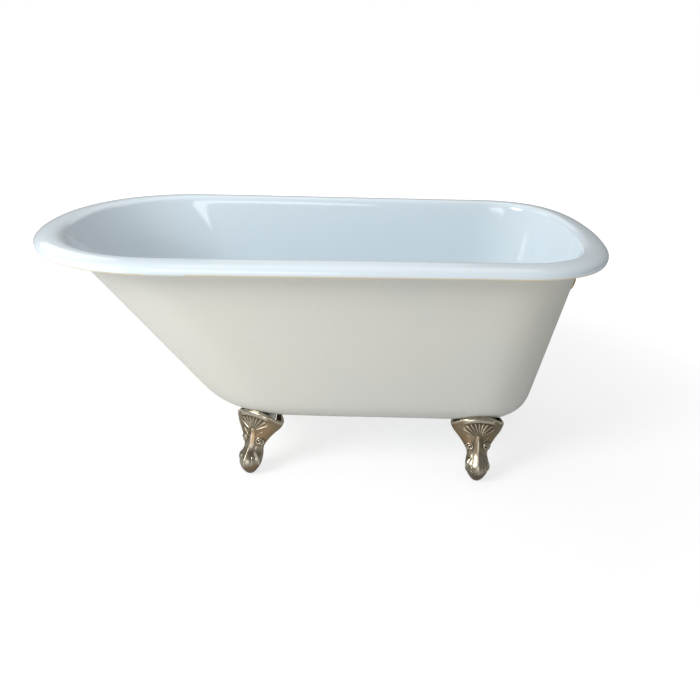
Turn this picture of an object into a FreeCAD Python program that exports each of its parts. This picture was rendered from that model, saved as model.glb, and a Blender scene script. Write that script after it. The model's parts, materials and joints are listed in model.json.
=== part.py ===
import FreeCAD
import Part

import math
import os

# A free-standing cast-iron roll-rim bath on four claw feet. The head end, at -X, is round
# and slopes for the bather's back. The tap end, at +X, is steep and nearly flat across.
# The origin is on the floor under the middle of the rim, +Z is up, and units are millimetres.
#
# The bath is one casting. Each foot hangs on it by a T-bolt that slides into a slotted lug
# under the floor. The waste and the overflow are brass fittings that clamp through the
# casting, and a rubber plug with a pull ring closes the waste.

# ---------------------------------------------------------------- driving dimensions: the rim

BATH_LENGTH = 1524.0
BATH_WIDTH = 762.0
RIM_HEIGHT = 627.0          # floor to the crest of the rim
RIM_OUTER_REACH = 45.0      # crest to the outermost edge of the roll
RIM_INNER_REACH = 14.0      # crest to the inner wall, at the sides
HEAD_EXTRA_REACH = 15.0     # more than that at the head end
TAP_EXTRA_REACH = 5.5       # and at the tap end
RIM_CREST_RISE = 18.0       # outermost edge up to the crest
RIM_LIP_DROP = 12.0         # outermost edge down to the tip of the lip
LIP_SWELL = 1.0             # inner face of the lip, further in than the wall's thickness
LIP_ROUND = 0.5             # the lip's tip is drawn together by this much on each side
LIP_DRAW_IN = 1.5           # outer face of the lip, in from the rim's edge
WALL_RINGS_END = 8.0        # the wall's own rings end this far below the rim's edge
RIM_INNER_DROP = 20.0       # crest down to where the inner wall is straight

# ---------------------------------------------------------------- the outline seen from above

HEAD_AXIS = 376.0           # length of the round head end, along X, at the edge of the rim
HEAD_FULLNESS = 2.15        # exponent of the head end: 2 is an ellipse
TAP_CORNER = 261.0          # size of the tap end's corners at the edge of the rim
TAP_FULLNESS = 2.45         # exponent of those corners
TAP_BOW = 23.0              # how far the tap end bows outwards in its middle
BOW_NARROWNESS = 4          # exponent: a larger one keeps the bow nearer the middle
TAP_TAPER = 10.0            # how much each side draws in towards the tap end

# ---------------------------------------------------------------- the walls and the floor

WALL = 7.0                  # thickness of the casting
UNDERSIDE = 145.0           # underside of the bath above the floor, between its ends
FLOOR_FALL = 0.018          # slope of the bath's floor down to the waste
SIDE_LEAN = 5.7             # degrees from upright
HEAD_LEAN = 38.6
TAP_LEAN = 12.2
SIDE_CORNER = 85.0          # outer radius between wall and floor
HEAD_CORNER = 103.0
TAP_CORNER_BELOW = 72.0

# ---------------------------------------------------------------- the claw feet

FOOT_WIDTH = 139.0          # across the fan's ears
FOOT_WRAP = 40.0            # how far the middle of the fan rises past the underside of the bath
FAN_ARCH = 30.0             # how much lower the fan's ears are than its middle
FOOT_WALL = 7.0
FOOT_PAD = 8.0              # radius of the flat that meets the floor
BALL_WIDTH = 65.0
ANKLE_WIDTH = 58.0
BALL_KICK = 44.0            # middle of the ball, outwards from the middle of the fan
TOE_RADIUS = 8.0
TOE_SPREAD = 46.0           # degrees round the ball from the middle toe to the next
SCROLL_RADIUS = 9.0         # of the two scrolls above the ankle
SCROLL_HEIGHT = 0.58        # share of the foot's height
SCROLL_SPREAD = 32.0        # degrees round from the foot's front
FAN_RIBS = 7
RIB_RADIUS = 4.0            # of a rib at the edge of the fan
RIB_SPREAD = 15.0           # degrees round the fan from one rib to the next
RIB_ROOT = 0.64             # share of the foot's height where the ribs start
RIB_TIP = 0.98              # and where they end
RIB_GATHER = 0.3            # spread of the ribs at their roots, as a share of it at their tips
RIB_TAPER = 0.4             # radius of a rib at its root, as a share of it at its tip
FAN_OPENING = 0.6           # width of the hollow's open back, as a share of the fan's
FOOT_SEAT_GAP = 0.3         # between the fan and the curved wall that it wraps
HEAD_FEET_TURN = 27.0       # degrees that the feet turn towards their end of the bath
TAP_FEET_TURN = 0.0
HEAD_FEET_IN = 110.0        # middle of the fan, from the end of the flat floor
TAP_FEET_IN = 106.0
HEAD_FEET_OUT = 39.0        # middle of the fan, outwards from the flat floor
TAP_FEET_OUT = 51.0

# ---------------------------------------------------------------- what fastens the feet

LUG_SIZE = 40.0             # square, seen from below
LUG_DEPTH = 24.0            # below the underside of the bath
LUG_LIP = 8.0               # thickness of the lip that the bolt's head bears on
LUG_ROOT = 60.0             # up past the underside, before it is cut to the wall
LUG_ROUNDING = 4.0          # radius of its upright corners
BOLT_INSET = 44.0           # bolt's axis, inwards from the middle of the fan
BOLT_D = 10.0
BOLT_HEAD = 16.0            # across the square head
BOLT_HEAD_HEIGHT = 7.0
TONGUE_THICKNESS = 14.0
WASHER_D = 22.0
WASHER_THICKNESS = 2.0
NUT_ACROSS_FLATS = 17.0
NUT_HEIGHT = 8.0
BOLT_TAIL = 4.0             # thread that shows below the nut
SLOT_CLEARANCE = 1.5        # width of a slot over what slides in it
BOLT_HOLE_CLEARANCE = 1.0   # diameter of a hole over its bolt
THREAD_CLEARANCE = 0.2      # diameter of a plain bore that stands for a thread, over its male

# ---------------------------------------------------------------- the waste

WASTE_SETBACK = 75.0        # waste's axis, from the tap end of the flat floor
WASTE_HOLE_CLEARANCE = 4.2  # diameter of the casting's hole over the tail's thread
WASTE_RECESS_MARGIN = 4.0   # diameter of the recess over the flange
WASTE_BOSS_MARGIN = 10.0    # diameter of the boss over the rubber washer
WASTE_BOSS_DEPTH = 4.0      # below the underside
WASTE_RECESS_DEPTH = 3.0
WASTE_FLANGE_D = 84.0
WASTE_RECESS_D = WASTE_FLANGE_D + WASTE_RECESS_MARGIN
WASTE_FLANGE_THICKNESS = 3.5
WASTE_BEDDING = 1.0         # sealing ring under the flange
WASTE_TAIL_D = 47.8         # outside the thread of an inch-and-a-half waste
WASTE_HOLE_D = WASTE_TAIL_D + WASTE_HOLE_CLEARANCE
WASTE_BORE_D = 40.0
WASTE_TAIL_LENGTH = 54.0    # below the flange
WASTE_TAIL_CHAMFER = 1.5
FLANGE_SLOPE = 6.0          # width of the flange's sloping edge
FLANGE_EDGE = 2.0           # and how far it falls
BAR_ROOT = 1.0              # the cross bars reach this far into the body
WASTE_OUTLET_STEP = 1.8
WASTE_OUTLET_D = WASTE_TAIL_D - WASTE_OUTLET_STEP   # plain end, which the trap seals round
WASTE_OUTLET_LENGTH = 24.0
WASTE_SEAT_DEPTH = 9.0      # conical seat for the plug
WASTE_SEAT_FLARE = 5.0      # diameter at its top over the bore
WASTE_SEAT_D = WASTE_BORE_D + WASTE_SEAT_FLARE
CROSS_BAR = 4.0             # width and height of the bars across the bore
CROSS_BAR_DROP = 20.0       # top of the flange to the top of the bars
RUBBER_WASHER_D = 80.0
WASTE_BOSS_D = RUBBER_WASHER_D + WASTE_BOSS_MARGIN
RUBBER_WASHER_THICKNESS = 6.0
SLIP_WASHER_INSET = 8.0     # its diameter under the rubber washer's
SLIP_WASHER_D = RUBBER_WASHER_D - SLIP_WASHER_INSET
SLIP_WASHER_THICKNESS = 2.0
BACKNUT_SHOULDER = 14.2     # across its flats over the tail's thread
BACKNUT_ACROSS_FLATS = WASTE_TAIL_D + BACKNUT_SHOULDER
BACKNUT_HEIGHT = 10.0

# ---------------------------------------------------------------- the plug

PLUG_CAP_OVERLAP = 7.0      # diameter of the cap over the seat
PLUG_CAP_D = WASTE_SEAT_D + PLUG_CAP_OVERLAP
PLUG_CAP_THICKNESS = 5.0
PLUG_CAP_EDGE = 2.0         # chamfer round the top of the cap
PLUG_NECK_PLAY = 0.1        # more play at the neck than at the cap
PLUG_FOOT_PLAY = 0.5        # and at the foot
PLUG_DEPTH = 14.0           # tapered part below the cap
PLUG_GAP = 0.3              # between the plug and its seat
EYE_PLATE_D = 18.0
EYE_PLATE_THICKNESS = 2.0
EYE_STEM_D = 6.0
EYE_WIDTH = 13.0
EYE_THICKNESS = 4.0
EYE_HEIGHT = 9.0            # plate to the centre of the eye
EYE_BORE_D = 6.0
STEM_WASHER_MARGIN = 5.0
STEM_WASHER_D = EYE_STEM_D + STEM_WASHER_MARGIN   # holds the stem under the plug
STEM_WASHER_THICKNESS = 2.5
RING_WIRE = 3.2
RING_RADIUS = 17.0          # to the middle of the wire
RING_REST_GAP = 0.3         # between the lowered ring and the flange

# ---------------------------------------------------------------- the overflow

OVERFLOW_DROP = 140.0       # crest of the rim down to the overflow's centre
OVERFLOW_HOLE_D = 56.0
OVERFLOW_BOSS_DEPTH = 3.0   # outside the wall
OVERFLOW_FACE_DEPTH = 1.0
GRID_OVERLAP = 18.0         # diameter of the grid over the hole
GRID_D = OVERFLOW_HOLE_D + GRID_OVERLAP
OVERFLOW_FACE_MARGIN = 4.0  # diameter of the flat cut into the inner wall, over the grid
OVERFLOW_FACE_D = GRID_D + OVERFLOW_FACE_MARGIN
GRID_THICKNESS = 2.5
GRID_DOME = 3.0
GRID_SHOULDER = 0.6         # radius where the dome is at three quarters of its height, as a share
GRID_HOLLOW = 0.5           # the same of the hollow behind it
GRID_EDGE = 3.0             # width of the grid's sloping edge
GRID_HOLE_D = 7.0
GRID_HOLES = 8
GRID_HOLE_CIRCLE_D = 40.0
GRID_SCREW_D = 6.0
GRID_SCREW_HEAD_D = 13.0
GRID_SCREW_HEAD = 3.0
GRID_SCREW_SLOT = 1.2       # its width; it is half as deep as the head
GASKET_THICKNESS = 4.0
GASKET_MARGIN = 2.0         # diameter over the elbow's flange
GASKET_BORE_STEP = 2.0      # its bore under the hole
GASKET_BORE_D = OVERFLOW_HOLE_D - GASKET_BORE_STEP
ELBOW_FLANGE_OVERLAP = 18.0
ELBOW_FLANGE_D = OVERFLOW_HOLE_D + ELBOW_FLANGE_OVERLAP
GASKET_D = ELBOW_FLANGE_D + GASKET_MARGIN
OVERFLOW_BOSS_MARGIN = 4.0  # diameter of the boss over the gasket
OVERFLOW_BOSS_D = GASKET_D + OVERFLOW_BOSS_MARGIN
ELBOW_FLANGE_THICKNESS = 4.0
ELBOW_BODY_D = OVERFLOW_HOLE_D
ELBOW_WALL = 4.0
ELBOW_DEPTH = 36.0          # flange's face to the back of the elbow
ELBOW_BRIDGE = 12.0         # width of the bar that holds the screw
ELBOW_BRIDGE_THICKNESS = 8.0
SPIGOT_D = 25.0
SPIGOT_WALL = 3.5
SPIGOT_BORE_D = SPIGOT_D - 2 * SPIGOT_WALL
SPIGOT_LENGTH = 24.0        # below the elbow's body
SPIGOT_COLLAR_STEP = 3.0
SPIGOT_COLLAR_D = SPIGOT_D + SPIGOT_COLLAR_STEP     # round its root
SPIGOT_COLLAR_LENGTH = 3.0  # below the elbow's body

# ---------------------------------------------------------------- counts

HEAD_POINTS = 16            # points on half of each ring's outline
SIDE_POINTS = 10
CORNER_POINTS = 12
END_POINTS = 4
FLOOR_ARC_RINGS = 9         # rings of a wall near the floor, and above that
WALL_RINGS = 7
FOOT_RING_POINTS = 28
TOE_RING_POINTS = 12
HOLLOW_RINGS = 9
FULL_TURN = 360.0

# ---------------------------------------------------------------- worked out from the above

WALL_TOP = RIM_HEIGHT - RIM_CREST_RISE + WALL / 2
WALL_INSET = RIM_OUTER_REACH + RIM_INNER_REACH - WALL   # outer wall, in from the rim's edge
HALF_WALL_WIDTH = BATH_WIDTH / 2 - WALL_INSET
FALL_PIVOT = BATH_LENGTH / 8                            # where the fall leaves UNDERSIDE as it is
FOOT_TOP = UNDERSIDE + FOOT_WRAP
LUG_BOTTOM = UNDERSIDE - LUG_DEPTH


def V(x, y, z):
    return FreeCAD.Vector(x, y, z)


# ================================================================ shapes in general


def mean_steps(rows):
    """Parameters for rows of points, from the mean distance between each row and the next."""
    steps = [0.0]
    for row, following in zip(rows, rows[1:]):
        apart = sum(a.distanceToPoint(b) for a, b in zip(row, following)) / len(row)
        steps.append(steps[-1] + apart)
    return steps


def skin(rings, divisions=()):
    """A closed solid whose side passes through closed rings of matching points. The first and
    the last ring are flat, and are capped. The side is divided at the rings of given numbers."""
    around = mean_steps(list(zip(*rings)) + [[ring[0] for ring in rings]])
    curves = []
    for ring in rings:
        curve = Part.BSplineCurve()
        curve.interpolate(Points=ring, PeriodicFlag=True, Parameters=around)
        curves.append(curve)
    along = mean_steps(rings)
    columns = []
    for column in zip(*(curve.getPoles() for curve in curves)):
        rise = Part.BSplineCurve()
        rise.interpolate(Points=list(column), Parameters=along)
        columns.append(rise)
    surface = Part.BSplineSurface()
    surface.buildFromPolesMultsKnots(
        [rise.getPoles() for rise in columns],
        curves[0].getMultiplicities(),
        columns[0].getMultiplicities(),
        curves[0].getKnots(),
        columns[0].getKnots(),
        True,
        False,
        curves[0].Degree,
        columns[0].Degree,
    )
    faces = [Part.Face(Part.Wire([curve.toShape()])) for curve in (curves[0], curves[-1])]
    limits = [0, *divisions, len(rings) - 1]
    for low, high in zip(limits, limits[1:]):
        side = surface.copy()
        side.segment(around[0], around[-1], along[low], along[high])
        faces.append(side.toShape())
    sewn = Part.Compound(faces)
    sewn.sewShape(0.01)
    solid = Part.Solid(sewn.Shells[0])
    solid.fix(0.001, 0.001, 0.001)
    return solid if solid.Volume > 0 else solid.reversed()


def cylinder(diameter, bottom, top, x=0.0, y=0.0):
    return Part.makeCylinder(diameter / 2, top - bottom, V(x, y, bottom))


def tube(outer, inner, bottom, top):
    return cylinder(outer, bottom, top).cut(cylinder(inner, bottom - 1, top + 1))


def block(x0, x1, y0, y1, z0, z1):
    return Part.makeBox(x1 - x0, y1 - y0, z1 - z0, V(x0, y0, z0))


def hexagon(across_flats, bottom, top):
    radius = across_flats / math.sqrt(3)
    corners = [
        V(radius * math.cos(math.radians(a)), radius * math.sin(math.radians(a)), bottom)
        for a in range(0, 360, 60)
    ]
    return Part.Face(Part.makePolygon(corners + corners[:1])).extrude(V(0, 0, top - bottom))


def turned(profile):
    """A solid of revolution about Z, from (radius, height) corners in order."""
    corners = [V(r, 0, z) for r, z in profile]
    face = Part.Face(Part.makePolygon(corners + corners[:1]))
    return face.revolve(V(0, 0, 0), V(0, 0, 1), FULL_TURN)


def rounded(solid, radius, choose):
    """The solid with its chosen edges rounded."""
    return solid.makeFillet(radius, [e for e in solid.Edges if choose(e)])


def at_height(z):
    """Chooses the edges that lie flat at a height."""
    return lambda e: abs(e.BoundBox.ZMin - z) < 0.01 and abs(e.BoundBox.ZMax - z) < 0.01


def save(name, shape):
    shape.exportStep("parts/" + name + ".step")


# ================================================================ the bath casting


def power(value, exponent):
    return math.copysign(abs(value) ** exponent, value)


def outline(x_head, x_tap, half_width):
    """Points of the bath's outline seen from above, for given extremes, in order round it."""
    if half_width >= HALF_WALL_WIDTH:
        inset = BATH_WIDTH / 2 - half_width
        head_axis = HEAD_AXIS - inset
        corner = TAP_CORNER - inset
        share = 1.0
    else:
        share = half_width / HALF_WALL_WIDTH
        head_axis = (HEAD_AXIS - WALL_INSET) * share
        corner = (TAP_CORNER - WALL_INSET) * share
    bow = TAP_BOW * share
    half_tap = half_width - TAP_TAPER * share
    x_side = x_head + head_axis
    x_corner = x_tap - bow - corner
    points = []
    for i in range(HEAD_POINTS):
        a = math.pi / 2 * i / HEAD_POINTS
        x = x_side - head_axis * power(math.cos(a), 2 / HEAD_FULLNESS)
        points.append((x, half_width * power(math.sin(a), 2 / HEAD_FULLNESS)))
    for i in range(SIDE_POINTS):
        t = i / SIDE_POINTS
        drawn_in = (half_width - half_tap) * (3 * t * t - 2 * t**3)
        points.append((x_side + (x_corner - x_side) * t, half_width - drawn_in))
    end = []
    for i in range(CORNER_POINTS):
        a = math.pi / 2 * i / CORNER_POINTS
        x = x_corner + corner * power(math.sin(a), 2 / TAP_FULLNESS)
        end.append((x, half_tap - corner + corner * power(math.cos(a), 2 / TAP_FULLNESS)))
    for i in range(END_POINTS + 1):
        end.append((x_tap - bow, (half_tap - corner) * (1 - i / END_POINTS)))
    points += [(x + bow * (1 - (y / half_tap) ** 2) ** BOW_NARROWNESS, y) for x, y in end]
    return points + [(x, -y) for x, y in reversed(points[1:-1])]


def wall_inset(z, lean, corner, grow):
    """How far a wall stands in from its top edge at height z. The wall leans, and meets the
    floor in an arc. grow moves its surface outwards."""
    lean = math.radians(lean)
    radius = corner + grow
    centre_z = UNDERSIDE + corner
    tangent_z = centre_z - radius * math.sin(lean)
    line = -grow / math.cos(lean)
    if z >= tangent_z:
        return line + (WALL_TOP - z) * math.tan(lean)
    centre = line + (WALL_TOP - tangent_z) * math.tan(lean) + radius * math.cos(lean)
    return centre - math.sqrt(max(radius**2 - (centre_z - z) ** 2, 0.0))


def fallen(points, z):
    """Points at height z, let down towards the tap end as the floor of the bath falls."""
    share = max(0.0, min(1.0, (WALL_TOP - z) / (WALL_TOP - UNDERSIDE)))
    return [V(x, y, z + FLOOR_FALL * (FALL_PIVOT - x) * share) for x, y in points]


def extremes(z, grow=0.0):
    """Head end, tap end and half width of the wall at height z."""
    head = BATH_LENGTH / 2 - WALL_INSET - HEAD_EXTRA_REACH
    tap = BATH_LENGTH / 2 - WALL_INSET - TAP_EXTRA_REACH
    return (
        -head + wall_inset(z, HEAD_LEAN, HEAD_CORNER, grow),
        tap - wall_inset(z, TAP_LEAN, TAP_CORNER_BELOW, grow),
        HALF_WALL_WIDTH - wall_inset(z, SIDE_LEAN, SIDE_CORNER, grow),
    )


def wall_ring(z, grow=0.0):
    return fallen(outline(*extremes(z, grow)), z)


def rim_ring(inset, z, extra=0.0):
    """A ring of the rolled rim. It keeps the same distance from the edge all round, but for a
    share of the extra reach at the ends."""
    head = -BATH_LENGTH / 2 + inset + HEAD_EXTRA_REACH * extra
    tap = BATH_LENGTH / 2 - inset - TAP_EXTRA_REACH * extra
    return [V(x, y, z) for x, y in outline(head, tap, BATH_WIDTH / 2 - inset)]


def wall_heights(grow, top):
    """Heights for the rings of a wall, closer together in the arc at the floor."""
    floor = UNDERSIDE - grow
    near = [floor + k * k for k in range(FLOOR_ARC_RINGS)]
    step = (top - near[-1]) / WALL_RINGS
    return near + [near[-1] + step * (k + 1) for k in range(WALL_RINGS)]


def crest_ring(angle):
    """A ring between the crest, at 0, and the inner wall, at 90 degrees."""
    z = RIM_HEIGHT - RIM_INNER_DROP * (1 - math.cos(math.radians(angle)))
    share = math.sin(math.radians(angle))
    head, tap, half = extremes(RIM_HEIGHT - RIM_INNER_DROP, -WALL)
    crest = RIM_OUTER_REACH
    crest_x, crest_half = BATH_LENGTH / 2 - crest, BATH_WIDTH / 2 - crest
    points = outline(
        -crest_x + (head + crest_x) * share,
        crest_x + (tap - crest_x) * share,
        crest_half + (half - crest_half) * share,
    )
    return [V(x, y, z) for x, y in points]


def rim_rings():
    """The roll of the rim, from the outer wall, under the roll, round its lip and over it."""
    edge_z = RIM_HEIGHT - RIM_CREST_RISE
    lip_z = edge_z - RIM_LIP_DROP
    under_reach = RIM_OUTER_REACH - WALL
    under_rise = RIM_CREST_RISE - WALL
    wall_reach = WALL_INSET - RIM_OUTER_REACH
    rings = []
    for angle in (35, 65, 90):
        # from the outer wall up to the top of the hollow
        across, up = math.cos(math.radians(angle)), math.sin(math.radians(angle))
        inset = RIM_OUTER_REACH + wall_reach * across
        rings.append(rim_ring(inset, edge_z + under_rise * up, across))
    for angle in (70, 45, 20, 0):
        across, up = math.cos(math.radians(angle)), math.sin(math.radians(angle))
        rings.append(rim_ring(RIM_OUTER_REACH - under_reach * across, edge_z + under_rise * up))
    tip = WALL / 2
    rings.append(rim_ring(WALL + LIP_SWELL, lip_z + tip))
    rings.append(rim_ring(WALL - LIP_ROUND, lip_z + LIP_ROUND))
    rings.append(rim_ring(tip + LIP_ROUND, lip_z))
    rings.append(rim_ring(LIP_DRAW_IN, lip_z + tip))
    for angle in (0, 20, 40, 60, 75):
        a = math.radians(angle)
        rings.append(
            rim_ring(RIM_OUTER_REACH * (1 - math.cos(a)), edge_z + RIM_CREST_RISE * math.sin(a))
        )
    return rings


def bath_skin():
    """The casting without its lugs and bosses: outer wall, rolled rim and inner wall."""
    outer_top = RIM_HEIGHT - RIM_CREST_RISE - WALL_RINGS_END
    inner_top = RIM_HEIGHT - 2 * RIM_INNER_DROP
    outer = [wall_ring(z) for z in wall_heights(0.0, outer_top)]
    rim = rim_rings() + [crest_ring(angle) for angle in (0, 30, 60)]
    inner = [wall_ring(z, -WALL) for z in reversed(wall_heights(-WALL, inner_top))]
    return skin(outer + rim + inner, (len(outer) - 1, len(outer) + len(rim)))


def wall_solid(grow):
    """The whole space inside the bath's outer wall, grown outwards by an allowance."""
    return skin([wall_ring(z, grow) for z in wall_heights(grow, WALL_TOP - RIM_CREST_RISE)])


def floor_height(x):
    """Underside of the flat floor at x."""
    return UNDERSIDE + FLOOR_FALL * (FALL_PIVOT - x)


# ================================================================ where the feet stand


def foot_places():
    """Each foot's name, the middle of its fan (x, y) and the direction that it faces, in
    degrees from -Y towards +X."""
    x_head, x_tap, half = extremes(UNDERSIDE)
    head_x, head_y = x_head + HEAD_FEET_IN, half + HEAD_FEET_OUT
    tap_x, tap_y = x_tap - TAP_FEET_IN, half + TAP_FEET_OUT
    return [
        ("head_front", head_x, -head_y, -HEAD_FEET_TURN),
        ("head_rear", head_x, head_y, 180 + HEAD_FEET_TURN),
        ("tap_front", tap_x, -tap_y, TAP_FEET_TURN),
        ("tap_rear", tap_x, tap_y, 180 - TAP_FEET_TURN),
    ]


def placed(shape, place):
    """A shape modelled at the origin facing -Y, moved to a foot's place."""
    name, x, y, facing = place
    moved = shape.copy()
    moved.rotate(V(0, 0, 0), V(0, 0, 1), facing)
    moved.translate(V(x, y, 0))
    return moved


# ================================================================ the lugs and the claw feet
# Each is modelled with the middle of the fan over the origin and the foot facing -Y.


def lug():
    """The lug under the floor that takes the bolt's square head, before it is cut to the wall."""
    half = LUG_SIZE / 2
    top = UNDERSIDE + LUG_ROOT
    body = block(-half, half, BOLT_INSET - half, BOLT_INSET + half, LUG_BOTTOM, top)
    return rounded(body, LUG_ROUNDING, lambda e: e.BoundBox.ZLength > LUG_DEPTH)


def lug_slot():
    """What the T-slot removes: open towards the middle of the bath."""
    near = BOLT_INSET - BOLT_HEAD / 2 - SLOT_CLEARANCE
    far = BOLT_INSET + LUG_SIZE / 2 + 10
    neck = (BOLT_D + SLOT_CLEARANCE) / 2
    wide = (BOLT_HEAD + SLOT_CLEARANCE) / 2
    lip_top = LUG_BOTTOM + LUG_LIP
    roof = lip_top + BOLT_HEAD_HEIGHT + SLOT_CLEARANCE
    return block(-neck, neck, near, far, LUG_BOTTOM - 1, lip_top + 1).fuse(
        block(-wide, wide, near, far, lip_top, roof)
    )


# Sections of the foot from the floor up: share of its height, which half width it takes, share
# of that half width, share of the ball's kick, and half depth.
FOOT_SECTIONS = [
    (0.000, "pad", 1.00, 1.00, 8.0),
    (0.022, "ball", 0.42, 1.00, 14.0),
    (0.048, "ball", 0.54, 0.99, 18.0),
    (0.094, "ball", 0.72, 0.97, 24.5),
    (0.144, "ball", 0.87, 0.94, 29.0),
    (0.188, "ball", 0.95, 0.90, 31.5),
    (0.243, "ball", 1.00, 0.83, 32.5),
    (0.300, "ball", 0.98, 0.72, 31.5),
    (0.348, "ball", 0.90, 0.58, 28.5),
    (0.390, "ankle", 1.00, 0.45, 26.0),
    (0.430, "ankle", 1.09, 0.36, 25.0),
    (0.470, "fan", 0.55, 0.29, 25.0),
    (0.515, "fan", 0.61, 0.23, 25.0),
    (0.560, "fan", 0.66, 0.18, 25.0),
    (0.605, "fan", 0.73, 0.03, 28.0),
    (0.655, "fan", 0.82, -0.03, 29.0),
    (0.705, "fan", 0.90, -0.11, 30.0),
    (0.755, "fan", 0.95, -0.19, 31.0),
    (0.810, "fan", 0.98, -0.26, 32.0),
    (0.870, "fan", 1.00, -0.31, 32.5),
    (1.000, "fan", 1.00, -0.36, 31.5),
]
HALF_WIDTHS = {
    "pad": FOOT_PAD,
    "ball": BALL_WIDTH / 2,
    "ankle": ANKLE_WIDTH / 2,
    "fan": FOOT_WIDTH / 2,
}
# A toe from its root to its claw: share of the foot's height, and share of the toe's radius.
TOE_SECTIONS = [
    (0.53, 0.6),
    (0.46, 0.8),
    (0.40, 1.0),
    (0.34, 1.1),
    (0.28, 1.0),
    (0.23, 0.75),
    (0.20, 0.3),
]


def foot_ellipse(share):
    """Half width, reach outwards and half depth of the foot at a share of its height."""
    table = [(s, HALF_WIDTHS[part] * w, BALL_KICK * r, d) for s, part, w, r, d in FOOT_SECTIONS]
    for below, above in zip(table, table[1:]):
        if below[0] <= share <= above[0]:
            part = (share - below[0]) / (above[0] - below[0])
            return [low + (high - low) * part for low, high in zip(below[1:], above[1:])]


def foot_point(share, angle, shrink=0.0):
    """A point of the foot's surface, at an angle in degrees round from its front."""
    half, reach, depth = foot_ellipse(share)
    a = math.radians(angle)
    x = (half - shrink) * math.sin(a)
    return V(x, -reach - (depth - shrink) * math.cos(a), FOOT_TOP * share)


def foot_ring(share, shrink=0.0):
    step = FULL_TURN / FOOT_RING_POINTS
    return [foot_point(share, step * i, shrink) for i in range(FOOT_RING_POINTS)]


def toe(angle):
    """A toe that runs down the ball at an angle round from its front."""
    rings = []
    for share, size in TOE_SECTIONS:
        middle = foot_point(share, angle)
        ring = []
        for i in range(TOE_RING_POINTS):
            a = 2 * math.pi * i / TOE_RING_POINTS
            ring.append(middle + V(math.sin(a), math.cos(a), 0) * (TOE_RADIUS * size))
        rings.append(ring)
    return skin(rings[::-1])


def rib(angle):
    """A rib of the fan, from between the scrolls up to the fan's edge."""
    root = foot_point(RIB_ROOT, angle * RIB_GATHER)
    along = foot_point(RIB_TIP, angle) - root
    return Part.makeCone(RIB_RADIUS * RIB_TAPER, RIB_RADIUS, along.Length, root, along)


def foot_relief():
    """What stands out of the foot's front: toes, scrolls and the ribs of the fan."""
    toes = [toe(TOE_SPREAD * i) for i in (-1, 0, 1)]
    places = [foot_point(SCROLL_HEIGHT, SCROLL_SPREAD * side) for side in (-1, 1)]
    scrolls = [Part.makeSphere(SCROLL_RADIUS, place) for place in places]
    ribs = [rib(RIB_SPREAD * (i - (FAN_RIBS - 1) / 2)) for i in range(FAN_RIBS)]
    return toes + scrolls + ribs


def arch():
    """A lying cylinder that rounds the top of the fan over from ear to ear."""
    half = FOOT_WIDTH / 2
    radius = (half**2 + FAN_ARCH**2) / (2 * FAN_ARCH)
    reach = FOOT_WIDTH
    body = Part.makeCylinder(radius, 2 * reach, V(0, -reach, FOOT_TOP - radius), V(0, 1, 0))
    return body.fuse(block(-reach, reach, -reach, reach, -1, FOOT_TOP / 2))


def tongue():
    """The shelf behind the fan that the bolt clamps up against the lug."""
    radius = LUG_SIZE / 2
    bottom = LUG_BOTTOM - TONGUE_THICKNESS
    end = Part.makeCylinder(radius, TONGUE_THICKNESS, V(0, BOLT_INSET, bottom))
    return end.fuse(block(-radius, radius, 0, BOLT_INSET, bottom, LUG_BOTTOM))


def fan_hollow():
    """The space behind the fan, open at its top and towards the middle of the bath."""
    low = LUG_BOTTOM / FOOT_TOP
    step = (1 - low) / (HOLLOW_RINGS - 1)
    rings = [foot_ring(low + step * i, FOOT_WALL) for i in range(HOLLOW_RINGS)]
    half = FOOT_WIDTH * FAN_OPENING / 2
    back = block(-half, half, FOOT_WALL, BOLT_INSET + LUG_SIZE, LUG_BOTTOM, FOOT_TOP + 1)
    return skin(rings).fuse(back)


def foot_blank():
    """A foot before its top is cut to the curve of the bath."""
    solid = skin([foot_ring(section[0]) for section in FOOT_SECTIONS])
    for piece in foot_relief():
        solid = solid.fuse(piece)
    solid = solid.common(arch()).fuse(tongue()).cut(fan_hollow())
    low = LUG_BOTTOM - 2 * TONGUE_THICKNESS
    hole = cylinder(BOLT_D + BOLT_HOLE_CLEARANCE, low, LUG_BOTTOM + 1, 0, BOLT_INSET)
    return solid.cut(hole)


def bolt():
    head_bottom = LUG_BOTTOM + LUG_LIP
    washer_bottom = LUG_BOTTOM - TONGUE_THICKNESS - WASHER_THICKNESS
    half = BOLT_HEAD / 2
    head_top = head_bottom + BOLT_HEAD_HEIGHT
    head = block(-half, half, BOLT_INSET - half, BOLT_INSET + half, head_bottom, head_top)
    shank = cylinder(BOLT_D, washer_bottom - NUT_HEIGHT - BOLT_TAIL, head_bottom + 1, 0, BOLT_INSET)
    return head.fuse(shank).removeSplitter()


def washer():
    top = LUG_BOTTOM - TONGUE_THICKNESS
    ring = tube(WASHER_D, BOLT_D + BOLT_HOLE_CLEARANCE, top - WASHER_THICKNESS, top)
    ring.translate(V(0, BOLT_INSET, 0))
    return ring


def nut():
    top = LUG_BOTTOM - TONGUE_THICKNESS - WASHER_THICKNESS
    body = hexagon(NUT_ACROSS_FLATS, top - NUT_HEIGHT, top)
    body = body.cut(cylinder(BOLT_D + THREAD_CLEARANCE, top - NUT_HEIGHT - 1, top + 1))
    body.translate(V(0, BOLT_INSET, 0))
    return body


def make_feet(grown_wall):
    for place in foot_places():
        name = place[0]
        foot = placed(foot_blank(), place).cut(grown_wall)
        foot = max(foot.Solids, key=lambda s: s.Volume)
        save("foot_" + name, foot)
        save("foot_bolt_" + name, placed(bolt(), place))
        save("foot_washer_" + name, placed(washer(), place))
        save("foot_nut_" + name, placed(nut(), place))


# ================================================================ the waste and its plug
# Modelled about Z at the origin, with heights as they are, and then moved along X.


def waste_x():
    return extremes(UNDERSIDE)[1] - WASTE_SETBACK


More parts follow.
